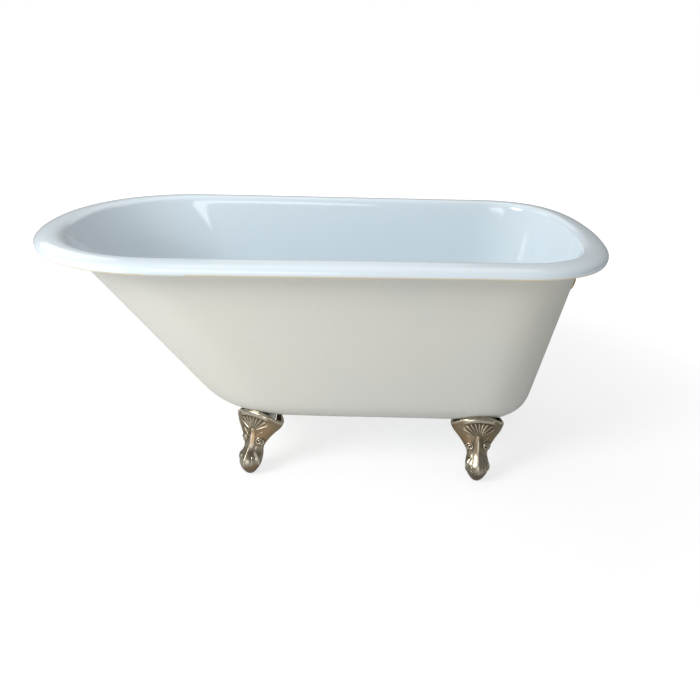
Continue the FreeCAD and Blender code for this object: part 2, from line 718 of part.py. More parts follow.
def waste_levels():
    """Heights of the recess's floor and of the boss's lower face."""
    under = floor_height(waste_x())
    return under + WALL - WASTE_RECESS_DEPTH, under - WASTE_BOSS_DEPTH


def waste_boss():
    recess, boss = waste_levels()
    return cylinder(WASTE_BOSS_D, boss, recess - 0.5, waste_x())


def waste_cuts():
    recess, boss = waste_levels()
    x = waste_x()
    hole = cylinder(WASTE_HOLE_D, boss - 5, recess + 20, x)
    return hole.fuse(cylinder(WASTE_RECESS_D, recess, recess + 20, x))


def waste_body():
    recess = waste_levels()[0]
    top = recess + WASTE_BEDDING + WASTE_FLANGE_THICKNESS
    bottom = top - WASTE_FLANGE_THICKNESS - WASTE_TAIL_LENGTH
    seat, bore, tail = WASTE_SEAT_D / 2, WASTE_BORE_D / 2, WASTE_TAIL_D / 2
    flange, outlet = WASTE_FLANGE_D / 2, WASTE_OUTLET_D / 2
    body = turned([
        (seat, top),
        (flange - FLANGE_SLOPE, top),
        (flange, top - FLANGE_EDGE),
        (flange, recess + WASTE_BEDDING),
        (tail, recess + WASTE_BEDDING),
        (tail, bottom + WASTE_OUTLET_LENGTH),
        (outlet, bottom + WASTE_OUTLET_LENGTH),
        (outlet, bottom + WASTE_TAIL_CHAMFER),
        (outlet - WASTE_TAIL_CHAMFER, bottom),
        (bore, bottom),
        (bore, top - WASTE_SEAT_DEPTH),
    ])
    bar_top = top - CROSS_BAR_DROP
    half, reach = CROSS_BAR / 2, bore + BAR_ROOT
    bars = block(-reach, reach, -half, half, bar_top - CROSS_BAR, bar_top)
    bars = bars.fuse(block(-half, half, -reach, reach, bar_top - CROSS_BAR, bar_top))
    return body.fuse(bars).removeSplitter()


def plug_parts():
    """The plug, its eye and its ring, which lies over on the cap."""
    recess = waste_levels()[0]
    seat_top = recess + WASTE_BEDDING + WASTE_FLANGE_THICKNESS
    cap_bottom = seat_top + PLUG_GAP
    cap_top = cap_bottom + PLUG_CAP_THICKNESS
    taper = (WASTE_SEAT_D - WASTE_BORE_D) / 2 / WASTE_SEAT_DEPTH
    neck = WASTE_SEAT_D / 2 - PLUG_GAP - PLUG_NECK_PLAY
    foot = min(neck - PLUG_DEPTH * taper, WASTE_BORE_D / 2 - PLUG_GAP - PLUG_FOOT_PLAY)
    stem = EYE_STEM_D / 2
    cap = PLUG_CAP_D / 2
    plug = turned([
        (stem, cap_top),
        (cap - PLUG_CAP_EDGE, cap_top),
        (cap, cap_top - PLUG_CAP_EDGE),
        (cap, cap_bottom),
        (neck, cap_bottom),
        (foot, cap_bottom - PLUG_DEPTH),
        (stem, cap_bottom - PLUG_DEPTH),
    ])
    plate_top = cap_top + EYE_PLATE_THICKNESS
    eye_z = plate_top + EYE_HEIGHT
    half = EYE_THICKNESS / 2
    eye = cylinder(EYE_PLATE_D, cap_top, plate_top)
    end = cap_bottom - PLUG_DEPTH
    eye = eye.fuse(cylinder(EYE_STEM_D, end - 1, cap_top + 1))
    eye = eye.fuse(cylinder(STEM_WASHER_D, end - STEM_WASHER_THICKNESS, end))
    eye = eye.fuse(block(-EYE_WIDTH / 2, EYE_WIDTH / 2, -half, half, plate_top - 1, eye_z))
    eye = eye.fuse(Part.makeCylinder(EYE_WIDTH / 2, EYE_THICKNESS, V(0, -half, eye_z), V(0, 1, 0)))
    bore = Part.makeCylinder(EYE_BORE_D / 2, EYE_THICKNESS + 2, V(0, -half - 1, eye_z), V(0, 1, 0))
    eye = eye.cut(bore).removeSplitter()
    # the ring lies over the cap's edge, with its far side just above the flange
    height = eye_z - seat_top - RING_WIRE / 2 - RING_REST_GAP
    droop = math.degrees(math.asin(height / (2 * RING_RADIUS)))
    ring = Part.makeTorus(RING_RADIUS, RING_WIRE / 2, V(RING_RADIUS, 0, 0), V(0, 0, 1))
    ring.rotate(V(0, 0, 0), V(0, 1, 0), droop)
    ring.translate(V(0, 0, eye_z))
    return {"plug": plug, "plug_eye": eye, "plug_ring": ring}


def make_waste():
    recess, boss = waste_levels()
    shapes = {
        "waste_body": waste_body(),
        "waste_bedding_ring": tube(
            WASTE_FLANGE_D - 4, WASTE_TAIL_D + THREAD_CLEARANCE, recess, recess + WASTE_BEDDING
        ),
        "waste_rubber_washer": tube(
            RUBBER_WASHER_D, WASTE_TAIL_D + THREAD_CLEARANCE, boss - RUBBER_WASHER_THICKNESS, boss
        ),
    }
    slip_top = boss - RUBBER_WASHER_THICKNESS
    nut_top = slip_top - SLIP_WASHER_THICKNESS
    shapes["waste_slip_washer"] = tube(
        SLIP_WASHER_D, WASTE_TAIL_D + THREAD_CLEARANCE, nut_top, slip_top
    )
    backnut = hexagon(BACKNUT_ACROSS_FLATS, nut_top - BACKNUT_HEIGHT, nut_top)
    bore = cylinder(WASTE_TAIL_D + THREAD_CLEARANCE, nut_top - BACKNUT_HEIGHT - 1, nut_top + 1)
    shapes["waste_backnut"] = backnut.cut(bore)
    shapes.update(plug_parts())
    for name, shape in shapes.items():
        shape.translate(V(waste_x(), 0, 0))
        save(name, shape)


# ================================================================ the overflow
# Modelled about Z at the origin, with +Z pointing out of the bath and 0 at the outer wall,
# and then laid against the tap end.


def overflow_place():
    """Moves a shape from the overflow's own frame to the tap end's outer wall."""
    z = RIM_HEIGHT - OVERFLOW_DROP
    x = extremes(z)[1]
    point = fallen([(x, 0.0)], z)[0]
    turn = FreeCAD.Rotation(V(0, 1, 0), 90 + TAP_LEAN)
    return FreeCAD.Placement(point, turn)


def laid(shape):
    moved = shape.copy()
    moved.Placement = overflow_place().multiply(moved.Placement)
    return moved


def overflow_boss():
    return laid(cylinder(OVERFLOW_BOSS_D, -WALL / 2, OVERFLOW_BOSS_DEPTH))


def overflow_cuts():
    hole = cylinder(OVERFLOW_HOLE_D, -WALL - 20, OVERFLOW_BOSS_DEPTH + 20)
    face_z = -WALL + OVERFLOW_FACE_DEPTH
    return laid(hole.fuse(cylinder(OVERFLOW_FACE_D, face_z - 20, face_z)))


def overflow_grid():
    back = -WALL + OVERFLOW_FACE_DEPTH
    radius = GRID_D / 2
    dome = turned([
        (0, back),
        (radius, back),
        (radius, back - GRID_THICKNESS / 2),
        (radius - GRID_EDGE, back - GRID_THICKNESS),
        (radius * GRID_SHOULDER, back - GRID_THICKNESS - GRID_DOME * 0.75),
        (0, back - GRID_THICKNESS - GRID_DOME),
    ])
    hollow = turned([
        (0, back + 1),
        (OVERFLOW_HOLE_D / 2 - 1, back + 1),
        (OVERFLOW_HOLE_D / 2 - 1, back - 0.5),
        (radius * GRID_HOLLOW, back - GRID_DOME * 0.75),
        (0, back - GRID_DOME),
    ])
    grid = dome.cut(hollow)
    low = back - GRID_THICKNESS - GRID_DOME - 2
    grid = grid.cut(cylinder(GRID_SCREW_D + BOLT_HOLE_CLEARANCE, low, back + 2))
    for i in range(GRID_HOLES):
        a = 2 * math.pi * (i + 0.5) / GRID_HOLES
        x = GRID_HOLE_CIRCLE_D / 2 * math.cos(a)
        y = GRID_HOLE_CIRCLE_D / 2 * math.sin(a)
        grid = grid.cut(cylinder(GRID_HOLE_D, low, back + 2, x, y))
    return grid


def elbow_bridge_span():
    """Lower and upper face of the bar that holds the screw."""
    low = OVERFLOW_BOSS_DEPTH + GASKET_THICKNESS
    return low, low + ELBOW_BRIDGE_THICKNESS


def overflow_screw():
    face = -WALL + OVERFLOW_FACE_DEPTH - GRID_THICKNESS - GRID_DOME
    head = turned([
        (0, face - GRID_SCREW_HEAD),
        (GRID_SCREW_HEAD_D / 2 - 2, face - GRID_SCREW_HEAD),
        (GRID_SCREW_HEAD_D / 2, face),
        (0, face),
    ])
    end = elbow_bridge_span()[1] + 2
    screw = head.fuse(cylinder(GRID_SCREW_D, face - 1, end))
    reach, half = GRID_SCREW_HEAD_D, GRID_SCREW_SLOT / 2
    low, high = face - GRID_SCREW_HEAD - 1, face - GRID_SCREW_HEAD / 2
    return screw.cut(block(-reach, reach, -half, half, low, high))


def overflow_elbow():
    """The chamber behind the wall, with its flange, screw bridge and downward spigot."""
    face = OVERFLOW_BOSS_DEPTH + GASKET_THICKNESS
    back = face + ELBOW_DEPTH
    body = cylinder(ELBOW_BODY_D, face, back)
    body = rounded(body, ELBOW_BODY_D / 10, at_height(back))
    body = body.fuse(cylinder(ELBOW_FLANGE_D, face, face + ELBOW_FLANGE_THICKNESS))
    # here +X points down the outside of the wall
    centre = back - ELBOW_WALL / 2 - SPIGOT_D / 2
    reach = ELBOW_BODY_D / 2 + SPIGOT_LENGTH
    spigot = Part.makeCylinder(SPIGOT_D / 2, reach, V(0, 0, centre), V(1, 0, 0))
    collar_reach = ELBOW_BODY_D / 2 + SPIGOT_COLLAR_LENGTH
    collar = Part.makeCylinder(SPIGOT_COLLAR_D / 2, collar_reach, V(0, 0, centre), V(1, 0, 0))
    body = body.fuse(spigot).fuse(collar)
    chamber = cylinder(ELBOW_BODY_D - 2 * ELBOW_WALL, face - 1, back - ELBOW_WALL)
    bore = Part.makeCylinder(SPIGOT_BORE_D / 2, reach + 1, V(0, 0, centre), V(1, 0, 0))
    body = body.cut(chamber).cut(bore)
    low, high = elbow_bridge_span()
    reach = ELBOW_BODY_D / 2 - 1
    bridge = block(-ELBOW_BRIDGE / 2, ELBOW_BRIDGE / 2, -reach, reach, low, high)
    bridge = bridge.cut(cylinder(GRID_SCREW_D + THREAD_CLEARANCE, low - 1, high + 1))
    return body.fuse(bridge).removeSplitter()


def make_overflow():
    boss = OVERFLOW_BOSS_DEPTH
    save("overflow_grid", laid(overflow_grid()))
    save("overflow_screw", laid(overflow_screw()))
    save("overflow_gasket", laid(tube(GASKET_D, GASKET_BORE_D, boss, boss + GASKET_THICKNESS)))
    save("overflow_elbow", laid(overflow_elbow()))


# ================================================================ everything


def make_bath(core):
    casting = bath_skin()
    for place in foot_places():
        casting = casting.fuse(placed(lug(), place).cut(core))
    casting = casting.fuse(waste_boss())
    casting = casting.fuse(overflow_boss().cut(core))
    for place in foot_places():
        casting = casting.cut(placed(lug_slot(), place))
    casting = casting.cut(waste_cuts()).cut(overflow_cuts())
    save("bath_casting", casting)
    return casting


def main():
    os.makedirs("parts", exist_ok=True)
    make_bath(wall_solid(-WALL / 2))
    make_feet(wall_solid(FOOT_SEAT_GAP))
    make_waste()
    make_overflow()


main()
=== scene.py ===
"""A roll-rim claw-foot bath: its looks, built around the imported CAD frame. Lengths are in metres."""

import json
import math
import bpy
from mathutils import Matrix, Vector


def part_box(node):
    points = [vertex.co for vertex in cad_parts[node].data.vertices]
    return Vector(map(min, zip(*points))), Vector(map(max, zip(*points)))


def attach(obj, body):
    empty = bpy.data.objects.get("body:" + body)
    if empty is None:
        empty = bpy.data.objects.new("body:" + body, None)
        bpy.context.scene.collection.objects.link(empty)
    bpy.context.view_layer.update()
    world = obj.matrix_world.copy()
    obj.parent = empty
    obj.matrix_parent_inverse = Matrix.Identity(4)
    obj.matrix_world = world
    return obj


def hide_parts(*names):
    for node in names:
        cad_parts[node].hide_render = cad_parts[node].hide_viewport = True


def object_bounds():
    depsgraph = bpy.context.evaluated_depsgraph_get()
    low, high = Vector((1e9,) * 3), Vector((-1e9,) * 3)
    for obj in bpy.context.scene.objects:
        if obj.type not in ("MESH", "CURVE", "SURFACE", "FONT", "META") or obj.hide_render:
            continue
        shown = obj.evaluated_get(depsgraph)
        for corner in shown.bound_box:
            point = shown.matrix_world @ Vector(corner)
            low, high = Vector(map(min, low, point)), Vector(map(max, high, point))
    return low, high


bl_info = {
    "name": "Roll-rim Claw-foot Bath",
    "version": (1, 0, 0),
    "blender": (4, 5, 0),
    "location": "3D Viewport > Sidebar > Bath",
    "description": "Models and finishes a roll-rim bath on claw feet around its CAD frame",
    "category": "Object",
}

import bmesh
import bpy
import numpy as np
from bpy.props import FloatProperty, FloatVectorProperty, IntProperty, PointerProperty
from mathutils import Quaternion, Vector

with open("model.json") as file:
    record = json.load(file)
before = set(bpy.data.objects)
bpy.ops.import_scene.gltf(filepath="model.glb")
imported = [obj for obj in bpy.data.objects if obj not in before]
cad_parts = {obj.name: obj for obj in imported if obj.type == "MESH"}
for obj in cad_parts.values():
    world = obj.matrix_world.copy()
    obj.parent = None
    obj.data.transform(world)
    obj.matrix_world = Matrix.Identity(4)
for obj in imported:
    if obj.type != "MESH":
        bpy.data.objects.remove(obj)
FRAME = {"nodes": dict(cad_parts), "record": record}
CAD_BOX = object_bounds()
CAD_SIZE = CAD_BOX[1] - CAD_BOX[0]

# ---------------------------------------------------------------- the bath's shape

CREST_TO_WALL = 0.014  # crest of the rim to the inner wall
HEAD_EXTRA = 0.015  # more than that at the head end
TAP_EXTRA = 0.0055  # and at the tap end
INNER_DROP = 0.020  # crest down to where the inner wall is straight
OUTER_DROP = 0.008  # outermost edge down to where the outer wall is straight
LIP_SWELL = 0.001  # the lip's tip is a little thicker than the wall
LIP_ROUND = 0.0005
LIP_DRAW_IN = 0.0015  # the lip's tip stands in from the rim's edge
LIP_FACE = 0.003  # faces this close to the rim's edge belong to its outer face

HEAD_AXIS = 0.376  # length of the round head end at the rim's edge
HEAD_FULLNESS = 2.15  # exponent of its curve, 2 for an ellipse and more for a fuller one
TAP_CORNER = 0.261  # size of the tap end's corners at the rim's edge
TAP_FULLNESS = 2.45
TAP_BOW = 0.023  # the tap end's middle stands out from its corners
BOW_NARROWNESS = 4
TAP_TAPER = 0.010  # the tap end is narrower than the head end, on each side
FLOOR_FALL = 0.018  # fall of the floor per metre towards the tap end

# lean of each wall in degrees, and its outer radius where it meets the floor
HEAD_WALL = (38.6, 0.103)
TAP_WALL = (12.2, 0.072)
SIDE_WALL = (5.7, 0.085)

RING_POINTS = 128
DENSE = 60  # points on each part of the outline before they are spaced evenly
ARC_HEIGHT = 0.064  # the rings of a wall are closer together up to here
SPACE_RINGS = 28
FLOOR_SHARES = (1.0, 0.92, 0.75, 0.5, 0.28, 0.1)  # how far the floor's rings are drawn in

# ---------------------------------------------------------------- the waste and the overflow

WASTE_BOSS = (0.045, 0.0075)  # radius and depth
WASTE_RECESS_RADIUS = 0.044
WASTE_HOLE_RADIUS = 0.026
OVERFLOW_DROP = 0.140  # crest of the rim to the overflow's middle
# radius, and two depths from the outer face of the tap end's wall
OVERFLOW_BOSS = (0.040, -0.0035, 0.003)
OVERFLOW_HOLE = (0.028, -0.02, 0.02)
OVERFLOW_FACE = (0.039, -0.02, -0.006)

# ---------------------------------------------------------------- the feet and their lugs

# name, end (-1 at the head), side (-1 at the front), how far the fan's middle is along from the
# flat floor's end and outwards from its side, turn in degrees
FEET = [
    ("head_front", -1, -1, 0.110, 0.039, -27.0),
    ("head_rear", -1, 1, 0.110, 0.039, 207.0),
    ("tap_front", 1, -1, 0.106, 0.051, 0.0),
    ("tap_rear", 1, 1, 0.106, 0.051, 180.0),
]
LUG_SIZE = 0.040
LUG_BOTTOM = 0.121
LUG_TOP = 0.205  # before it is cut to the wall
LUG_ROUND = 0.0025
BOLT_INSET = 0.044  # fan's middle in to the bolt
# the slot in a lug: its neck, and the wide part that holds the bolt's head
SLOT_BACK = 0.0095  # outwards past the bolt's middle
SLOT_RUN = 0.1  # it is open towards the middle of the bath
NECK_HALF = 0.0058
NECK_TOP = 0.009  # over the lug's bottom
WIDE_HALF = 0.0088
WIDE_LOW, WIDE_HIGH = 0.129, 0.1375

TONGUE = 0.014  # its thickness
TONGUE_ROOT = 0.005  # it starts inside the fan
TONGUE_ROUND = 0.0015
BOLT_HOLE_RADIUS = 0.0055
FOOT_GAP = 0.0003  # between a foot and the wall that it wraps
BACK_LOW, BACK_HIGH = (-0.0417, 0.007), (0.0417, 0.09)  # the open back of the fan, from above
BACK_TOP = 0.2
BACK_ROUND = 0.004

# Sections of a foot in millimetres: height, half width, reach outwards and half depth.
FOOT_SECTIONS = [
    (0.0, 8.0, 44.0, 8.0),
    (3.2, 12.5, 44.0, 12.5),
    (9.0, 17.8, 43.6, 18.2),
    (17.5, 23.4, 42.7, 24.5),
    (26.5, 28.3, 41.4, 29.0),
    (35.0, 30.9, 39.6, 31.5),
    (45.0, 32.3, 36.5, 32.5),
    (55.0, 31.4, 31.7, 31.5),
    (63.5, 28.6, 26.4, 28.0),
    (71.5, 27.3, 21.0, 25.5),
    (79.5, 29.6, 16.4, 24.5),
    (87.5, 34.0, 12.6, 24.5),
    (96.0, 39.2, 9.0, 25.0),
    (104.0, 44.6, 5.6, 26.0),
    (112.5, 50.2, 2.0, 27.0),
    (121.5, 56.2, -1.6, 28.4),
    (130.5, 61.4, -5.2, 30.0),
    (140.0, 65.6, -8.6, 31.4),
    (150.0, 68.6, -11.6, 32.4),
    (161.0, 71.0, -13.8, 32.5),
    (173.0, 73.2, -15.0, 32.0),
    (187.0, 75.2, -15.8, 31.5),
]
FOOT_POINTS = 32
FOOT_TOP = 187.0
FOOT_WALL = 7.0
FAN_HALF = 69.5
FAN_ARCH = 30.0  # the ears are this much lower than the arch's middle
ARCH_START = 95.0  # height where the rings start to bend
FAN_HUB = 122.0  # height of the point that the flutes come from
FLUTE_SPREAD = 132.0  # degrees between the outer flutes
SCROLL_X, SCROLL_Z = 22.0, 96.0
EYE_X, EYE_Z = 17.0, 79.0  # the hollow under a scroll
FAN_FROM, FAN_FULL = 74.0, 84.0  # heights between which the toes give way to the fan

RELIEF_TURNS = 24  # smoothing turns for the patina
RELIEF_SEEN = (5, 23)  # and those that are measured: small forms, then large ones
RELIEF_GAIN = 160.0

# ---------------------------------------------------------------- the stage

# name, place, height of its aim over the middle, diameter and watts
LAMPS = [
    ("key_lamp", (-2.6, -1.9, 2.4), 0.35, 1.8, 96.0),
    ("front_lamp", (-0.6, -3.2, 0.7), 0.35, 1.6, 19.0),
    ("top_lamp", (0.2, 0.4, 3.2), 0.3, 2.6, 16.0),
    ("back_lamp", (0.0, 2.6, 2.6), 0.4, 2.0, 5.0),
    ("corner_lamp", (-2.4, 2.0, 2.4), 0.4, 1.8, 8.0),
]
SKY_STRENGTH = 0.32
FLOOR_RADIUS = 14.0
FLOOR_GLOW = 0.72  # of the floor as the camera sees it, near the bath
FADE_NEAR, FADE_FAR = 0.9, 2.4  # distances between which it fades into the white
CAMERA_PLACE = (0.0838, -1.9270, 1.1287)
CAMERA_TARGET = (0.0875, 0.0, 0.2452)
CAMERA_ROLL = 1.09
CAMERA_LENS, CAMERA_SENSOR = 36.46, 36.0


# ================================================================ modelling helpers


def deselect():
    """Leaves edit mode and selects nothing."""
    if bpy.context.object and bpy.context.object.mode != "OBJECT":
        bpy.ops.object.mode_set(mode="OBJECT")
    bpy.ops.object.select_all(action="DESELECT")


def pick(*pieces):
    """Selects these pieces alone, and makes the first one active."""
    deselect()
    for piece in pieces:
        piece.select_set(True)
    bpy.context.view_layer.objects.active = pieces[0]


def loft(name, rings, cap=True):
    """A piece drawn out ring by ring from a circle, each ring a list of matching points."""
    deselect()
    bpy.ops.mesh.primitive_circle_add(vertices=len(rings[0]))
    piece = bpy.context.object
    piece.name = piece.data.name = name
    place = piece.data.attributes.new("place", "INT", "POINT")
    place.data.foreach_set("value", range(len(rings[0])))
    for vertex, point in zip(piece.data.vertices, rings[0]):
        vertex.co = point
    bpy.ops.object.mode_set(mode="EDIT")
    bpy.ops.mesh.select_all(action="SELECT")
    if cap:
        bpy.ops.mesh.edge_face_add()
        bpy.ops.mesh.select_mode(type="EDGE")
    for ring in rings[1:]:
        bpy.ops.mesh.extrude_edges_move()
        shape = bmesh.from_edit_mesh(piece.data)
        number = shape.verts.layers.int["place"]
        for vertex in shape.verts:
            if vertex.select:
                vertex.co = ring[vertex[number]]
        bmesh.update_edit_mesh(piece.data)
    if cap:
        bpy.ops.mesh.edge_face_add()
    bpy.ops.mesh.select_mode(type="VERT")
    bpy.ops.mesh.select_all(action="SELECT")
    bpy.ops.mesh.remove_doubles(threshold=0.00002)
    bpy.ops.mesh.normals_make_consistent(inside=False)
    bpy.ops.object.mode_set(mode="OBJECT")
    piece.matrix_world.identity()
    return piece


def apply_modifier(piece, kind, **settings):
    """Adds a modifier with these settings and applies it."""
    pick(piece)
    modifier = piece.modifiers.new(kind.title(), kind)
    for key, value in settings.items():
        setattr(modifier, key, value)
    bpy.ops.object.modifier_apply(modifier=modifier.name)
    return piece


def subdivide(piece, levels):
    return apply_modifier(piece, "SUBSURF", levels=levels, render_levels=levels)


def combine(piece, tool, operation):
    """A boolean of two closed pieces. The tool is used up."""
    apply_modifier(piece, "BOOLEAN", operation=operation, object=tool, solver="EXACT")
    bpy.data.objects.remove(tool)
    return piece


def settle(piece):
    """Puts the piece's place and turn into its mesh."""
    pick(piece)
    bpy.ops.object.transform_apply(location=True, rotation=True, scale=True)
    return piece


def turned_drum(name, radius, low, high, x=0.0, y=0.0, bevel=0.0, sides=64):
    """A closed drum between two heights with an optional bevel round both ends."""
    deselect()
    bpy.ops.mesh.primitive_cylinder_add(
        vertices=sides, radius=radius, depth=high - low, location=(x, y, (low + high) / 2)
    )
    piece = settle(bpy.context.object)
    piece.name = piece.data.name = name
    if bevel:
        apply_modifier(piece, "BEVEL", width=bevel, segments=3, limit_method="ANGLE")
    return piece


def box(name, low, high, bevel=0.0):
    """A block between two corners with an optional bevel."""
    deselect()
    low, high = Vector(low), Vector(high)
    bpy.ops.mesh.primitive_cube_add(size=1.0, location=(low + high) / 2)
    piece = bpy.context.object
    piece.scale = high - low
    piece.name = piece.data.name = name
    settle(piece)
    if bevel:
        apply_modifier(piece, "BEVEL", width=bevel, segments=3)
    return piece


def join(*pieces):
    """All the pieces as one, under the first one's name."""
    pick(*pieces)
    bpy.ops.object.join()
    return pieces[0]


def move(piece, turn, x, y):
    """Turns the piece about Z and moves it, in its mesh."""
    pick(piece)
    piece.rotation_euler = (0.0, 0.0, math.radians(turn))
    piece.location = (x, y, 0.0)
    return settle(piece)


def points_of(piece):
    places = np.zeros(len(piece.data.vertices) * 3)
    piece.data.vertices.foreach_get("co", places)
    return places.reshape(-1, 3)


def set_points(piece, places):
    piece.data.vertices.foreach_set("co", places.ravel())
    piece.data.update()


def step(low, high, value):
    """0 below low, 1 above high, and smooth between them."""
    share = np.clip((value - low) / (high - low), 0.0, 1.0)
    return share * share * (3.0 - 2.0 * share)


def smooth(piece, angle):
    """Shades the piece smooth, with sharp edges over an angle in degrees."""
    pick(piece)
    bpy.ops.object.shade_smooth_by_angle(angle=math.radians(angle))
    return piece


def finish_piece(piece, slot, *nodes):
    """Lets the piece ride on the bath's body and stand for its CAD nodes."""
    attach(piece, "bath")
    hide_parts(*nodes)
    return piece


# ================================================================ the bath's outline and walls


def power(value, exponent):
    """A power that keeps the value's sign."""
    return np.sign(value) * np.abs(value) ** exponent


def outline(head_x, tap_x, half):
    """Evenly spaced points of the outline seen from above, from the head end's middle round
    +Y to the tap end's middle and back."""
    sizes = bpy.context.scene.bath_sizes
    wall_inset = inner_reach()
    wall_half = sizes.width / 2 - wall_inset
    if half >= wall_half:
        margin, share = sizes.width / 2 - half, 1.0
        axis, corner = HEAD_AXIS - margin, TAP_CORNER - margin
    else:
        share = half / wall_half
        axis, corner = (HEAD_AXIS - wall_inset) * share, (TAP_CORNER - wall_inset) * share
    bow = TAP_BOW * share
    half_tap = half - TAP_TAPER * share
    side_x, corner_x = head_x + axis, tap_x - bow - corner
    a = np.linspace(0.0, np.pi / 2, DENSE)
    t = np.linspace(0.0, 1.0, DENSE)
    drawn_in = (half - half_tap) * (3 * t**2 - 2 * t**3)
    end_x = corner_x + corner * power(np.sin(a), 2 / TAP_FULLNESS)
    end_y = half_tap - corner + corner * power(np.cos(a), 2 / TAP_FULLNESS)
    end_x = np.append(end_x, np.full(DENSE, tap_x - bow))
    end_y = np.append(end_y, (half_tap - corner) * (1 - t))
    if half_tap > 0:
        end_x = end_x + bow * (1 - (end_y / half_tap) ** 2) ** BOW_NARROWNESS
    x = np.concatenate(
        [side_x - axis * power(np.cos(a), 2 / HEAD_FULLNESS), side_x + (corner_x - side_x) * t, end_x]
    )
    y = np.concatenate([half * power(np.sin(a), 2 / HEAD_FULLNESS), half - drawn_in, end_y])
    along = np.append(0.0, np.cumsum(np.hypot(np.diff(x), np.diff(y))))
    even = np.linspace(0.0, along[-1], RING_POINTS // 2 + 1)
    x, y = np.interp(even, along, x), np.interp(even, along, y)
    return np.append(x, x[-2:0:-1]), np.append(y, -y[-2:0:-1])


def inner_reach():
    """How far the outer wall's top stands in from the rim's edge."""
    sizes = bpy.context.scene.bath_sizes
    return sizes.rim_reach + CREST_TO_WALL - sizes.wall


def wall_top():
    """Height of the walls' top edge, where the roll starts."""
    sizes = bpy.context.scene.bath_sizes
    return sizes.rim_height - sizes.rim_rise + sizes.wall / 2


def inset(z, wall, grow):
    """How far a wall stands in from its top edge at height z."""
    lean, corner = math.radians(wall[0]), wall[1]
    radius = corner + grow
    centre_z = bpy.context.scene.bath_sizes.underside + corner
    tangent_z = centre_z - radius * math.sin(lean)
    line = -grow / math.cos(lean)
    if z >= tangent_z:
        return line + (wall_top() - z) * math.tan(lean)
    centre = line + (wall_top() - tangent_z) * math.tan(lean) + radius * math.cos(lean)
    return centre - math.sqrt(max(radius**2 - (centre_z - z) ** 2, 0.0))


def extremes(z, grow=0.0):
    """Head end, tap end and half width at height z of the outer wall, or of one that is grown
    outwards from it."""
    sizes = bpy.context.scene.bath_sizes
    reach = sizes.length / 2 - inner_reach()
    return (
        -reach + HEAD_EXTRA + inset(z, HEAD_WALL, grow),
        reach - TAP_EXTRA - inset(z, TAP_WALL, grow),
        sizes.width / 2 - inner_reach() - inset(z, SIDE_WALL, grow),
    )


def drop(x, z):
    """How far the floor's fall towards the tap end moves a point up or down."""
    sizes = bpy.context.scene.bath_sizes
    share = min(1.0, max(0.0, (wall_top() - z) / (wall_top() - sizes.underside)))
    return FLOOR_FALL * (sizes.length / 8 - x) * share


def ring(head_x, tap_x, half, z):
    """A level ring of points."""
    x, y = outline(head_x, tap_x, half)
    return [(px, py, z) for px, py in zip(x, y)]


def wall_ring(z, grow=0.0, draw_in=0.0):
    """A ring of a wall at height z. draw_in moves it towards the floor's middle line."""
    head_x, tap_x, half = extremes(z, grow)
    x, y = outline(head_x + draw_in * half, tap_x - draw_in * half, half * (1.0 - draw_in))
    return [(px, py, z + drop(px, z)) for px, py in zip(x, y)]


def wall_heights(floor, top, near=11, far=9):
    """Heights for a wall's rings, closer together in the arc at the floor."""
    low = [floor + ARC_HEIGHT * (k / (near - 1)) ** 2 for k in range(near)]
    return low + [low[-1] + (top - low[-1]) * (k + 1) / far for k in range(far)]


def rim_ring(in_from_edge, z, extra=0.0):
    """A ring of the rolled rim, at a distance in from its edge. The share extra of the ends'
    own reach comes on top."""
    sizes = bpy.context.scene.bath_sizes
    head_x = -sizes.length / 2 + in_from_edge + HEAD_EXTRA * extra
    tap_x = sizes.length / 2 - in_from_edge - TAP_EXTRA * extra
    return ring(head_x, tap_x, sizes.width / 2 - in_from_edge, z)


def crest_ring(angle):
    """A ring between the crest, at 0, and the inner wall, at 90 degrees."""
    sizes = bpy.context.scene.bath_sizes
    share = math.sin(math.radians(angle))
    z = sizes.rim_height - INNER_DROP * (1 - math.cos(math.radians(angle)))
    head_x, tap_x, half = extremes(sizes.rim_height - INNER_DROP, -sizes.wall)
    crest_x = sizes.length / 2 - sizes.rim_reach
    crest_half = sizes.width / 2 - sizes.rim_reach
    return ring(
        -crest_x + (head_x + crest_x) * share,
        crest_x + (tap_x - crest_x) * share,
        crest_half + (half - crest_half) * share,
        z,
    )


def rim_rings():
    """The roll of the rim in two lists: its underside with the lip, and its outer face."""
    sizes = bpy.context.scene.bath_sizes
    reach, rise, wall = sizes.rim_reach, sizes.rim_rise, sizes.wall
    edge_z = sizes.rim_height - rise
    lip_z = edge_z - sizes.lip_drop
    wall_reach = inner_reach() - reach
    under = []
    for angle in (35, 65, 90):
        across, up = math.cos(math.radians(angle)), math.sin(math.radians(angle))
        under.append(rim_ring(reach + wall_reach * across, edge_z + (rise - wall) * up, across))
    for angle in (70, 45, 20, 0):
        across, up = math.cos(math.radians(angle)), math.sin(math.radians(angle))
        under.append(rim_ring(reach - (reach - wall) * across, edge_z + (rise - wall) * up))
    under.append(rim_ring(wall + LIP_SWELL, lip_z + wall / 2))
    under.append(rim_ring(wall - LIP_ROUND, lip_z + LIP_ROUND))
    over = [rim_ring(wall / 2 + LIP_ROUND, lip_z), rim_ring(LIP_DRAW_IN, lip_z + wall / 2)]
    for angle in (0, 15, 30, 45, 60, 75):
        across, up = math.cos(math.radians(angle)), math.sin(math.radians(angle))
        over.append(rim_ring(reach * (1 - across), edge_z + rise * up))
    return under, over


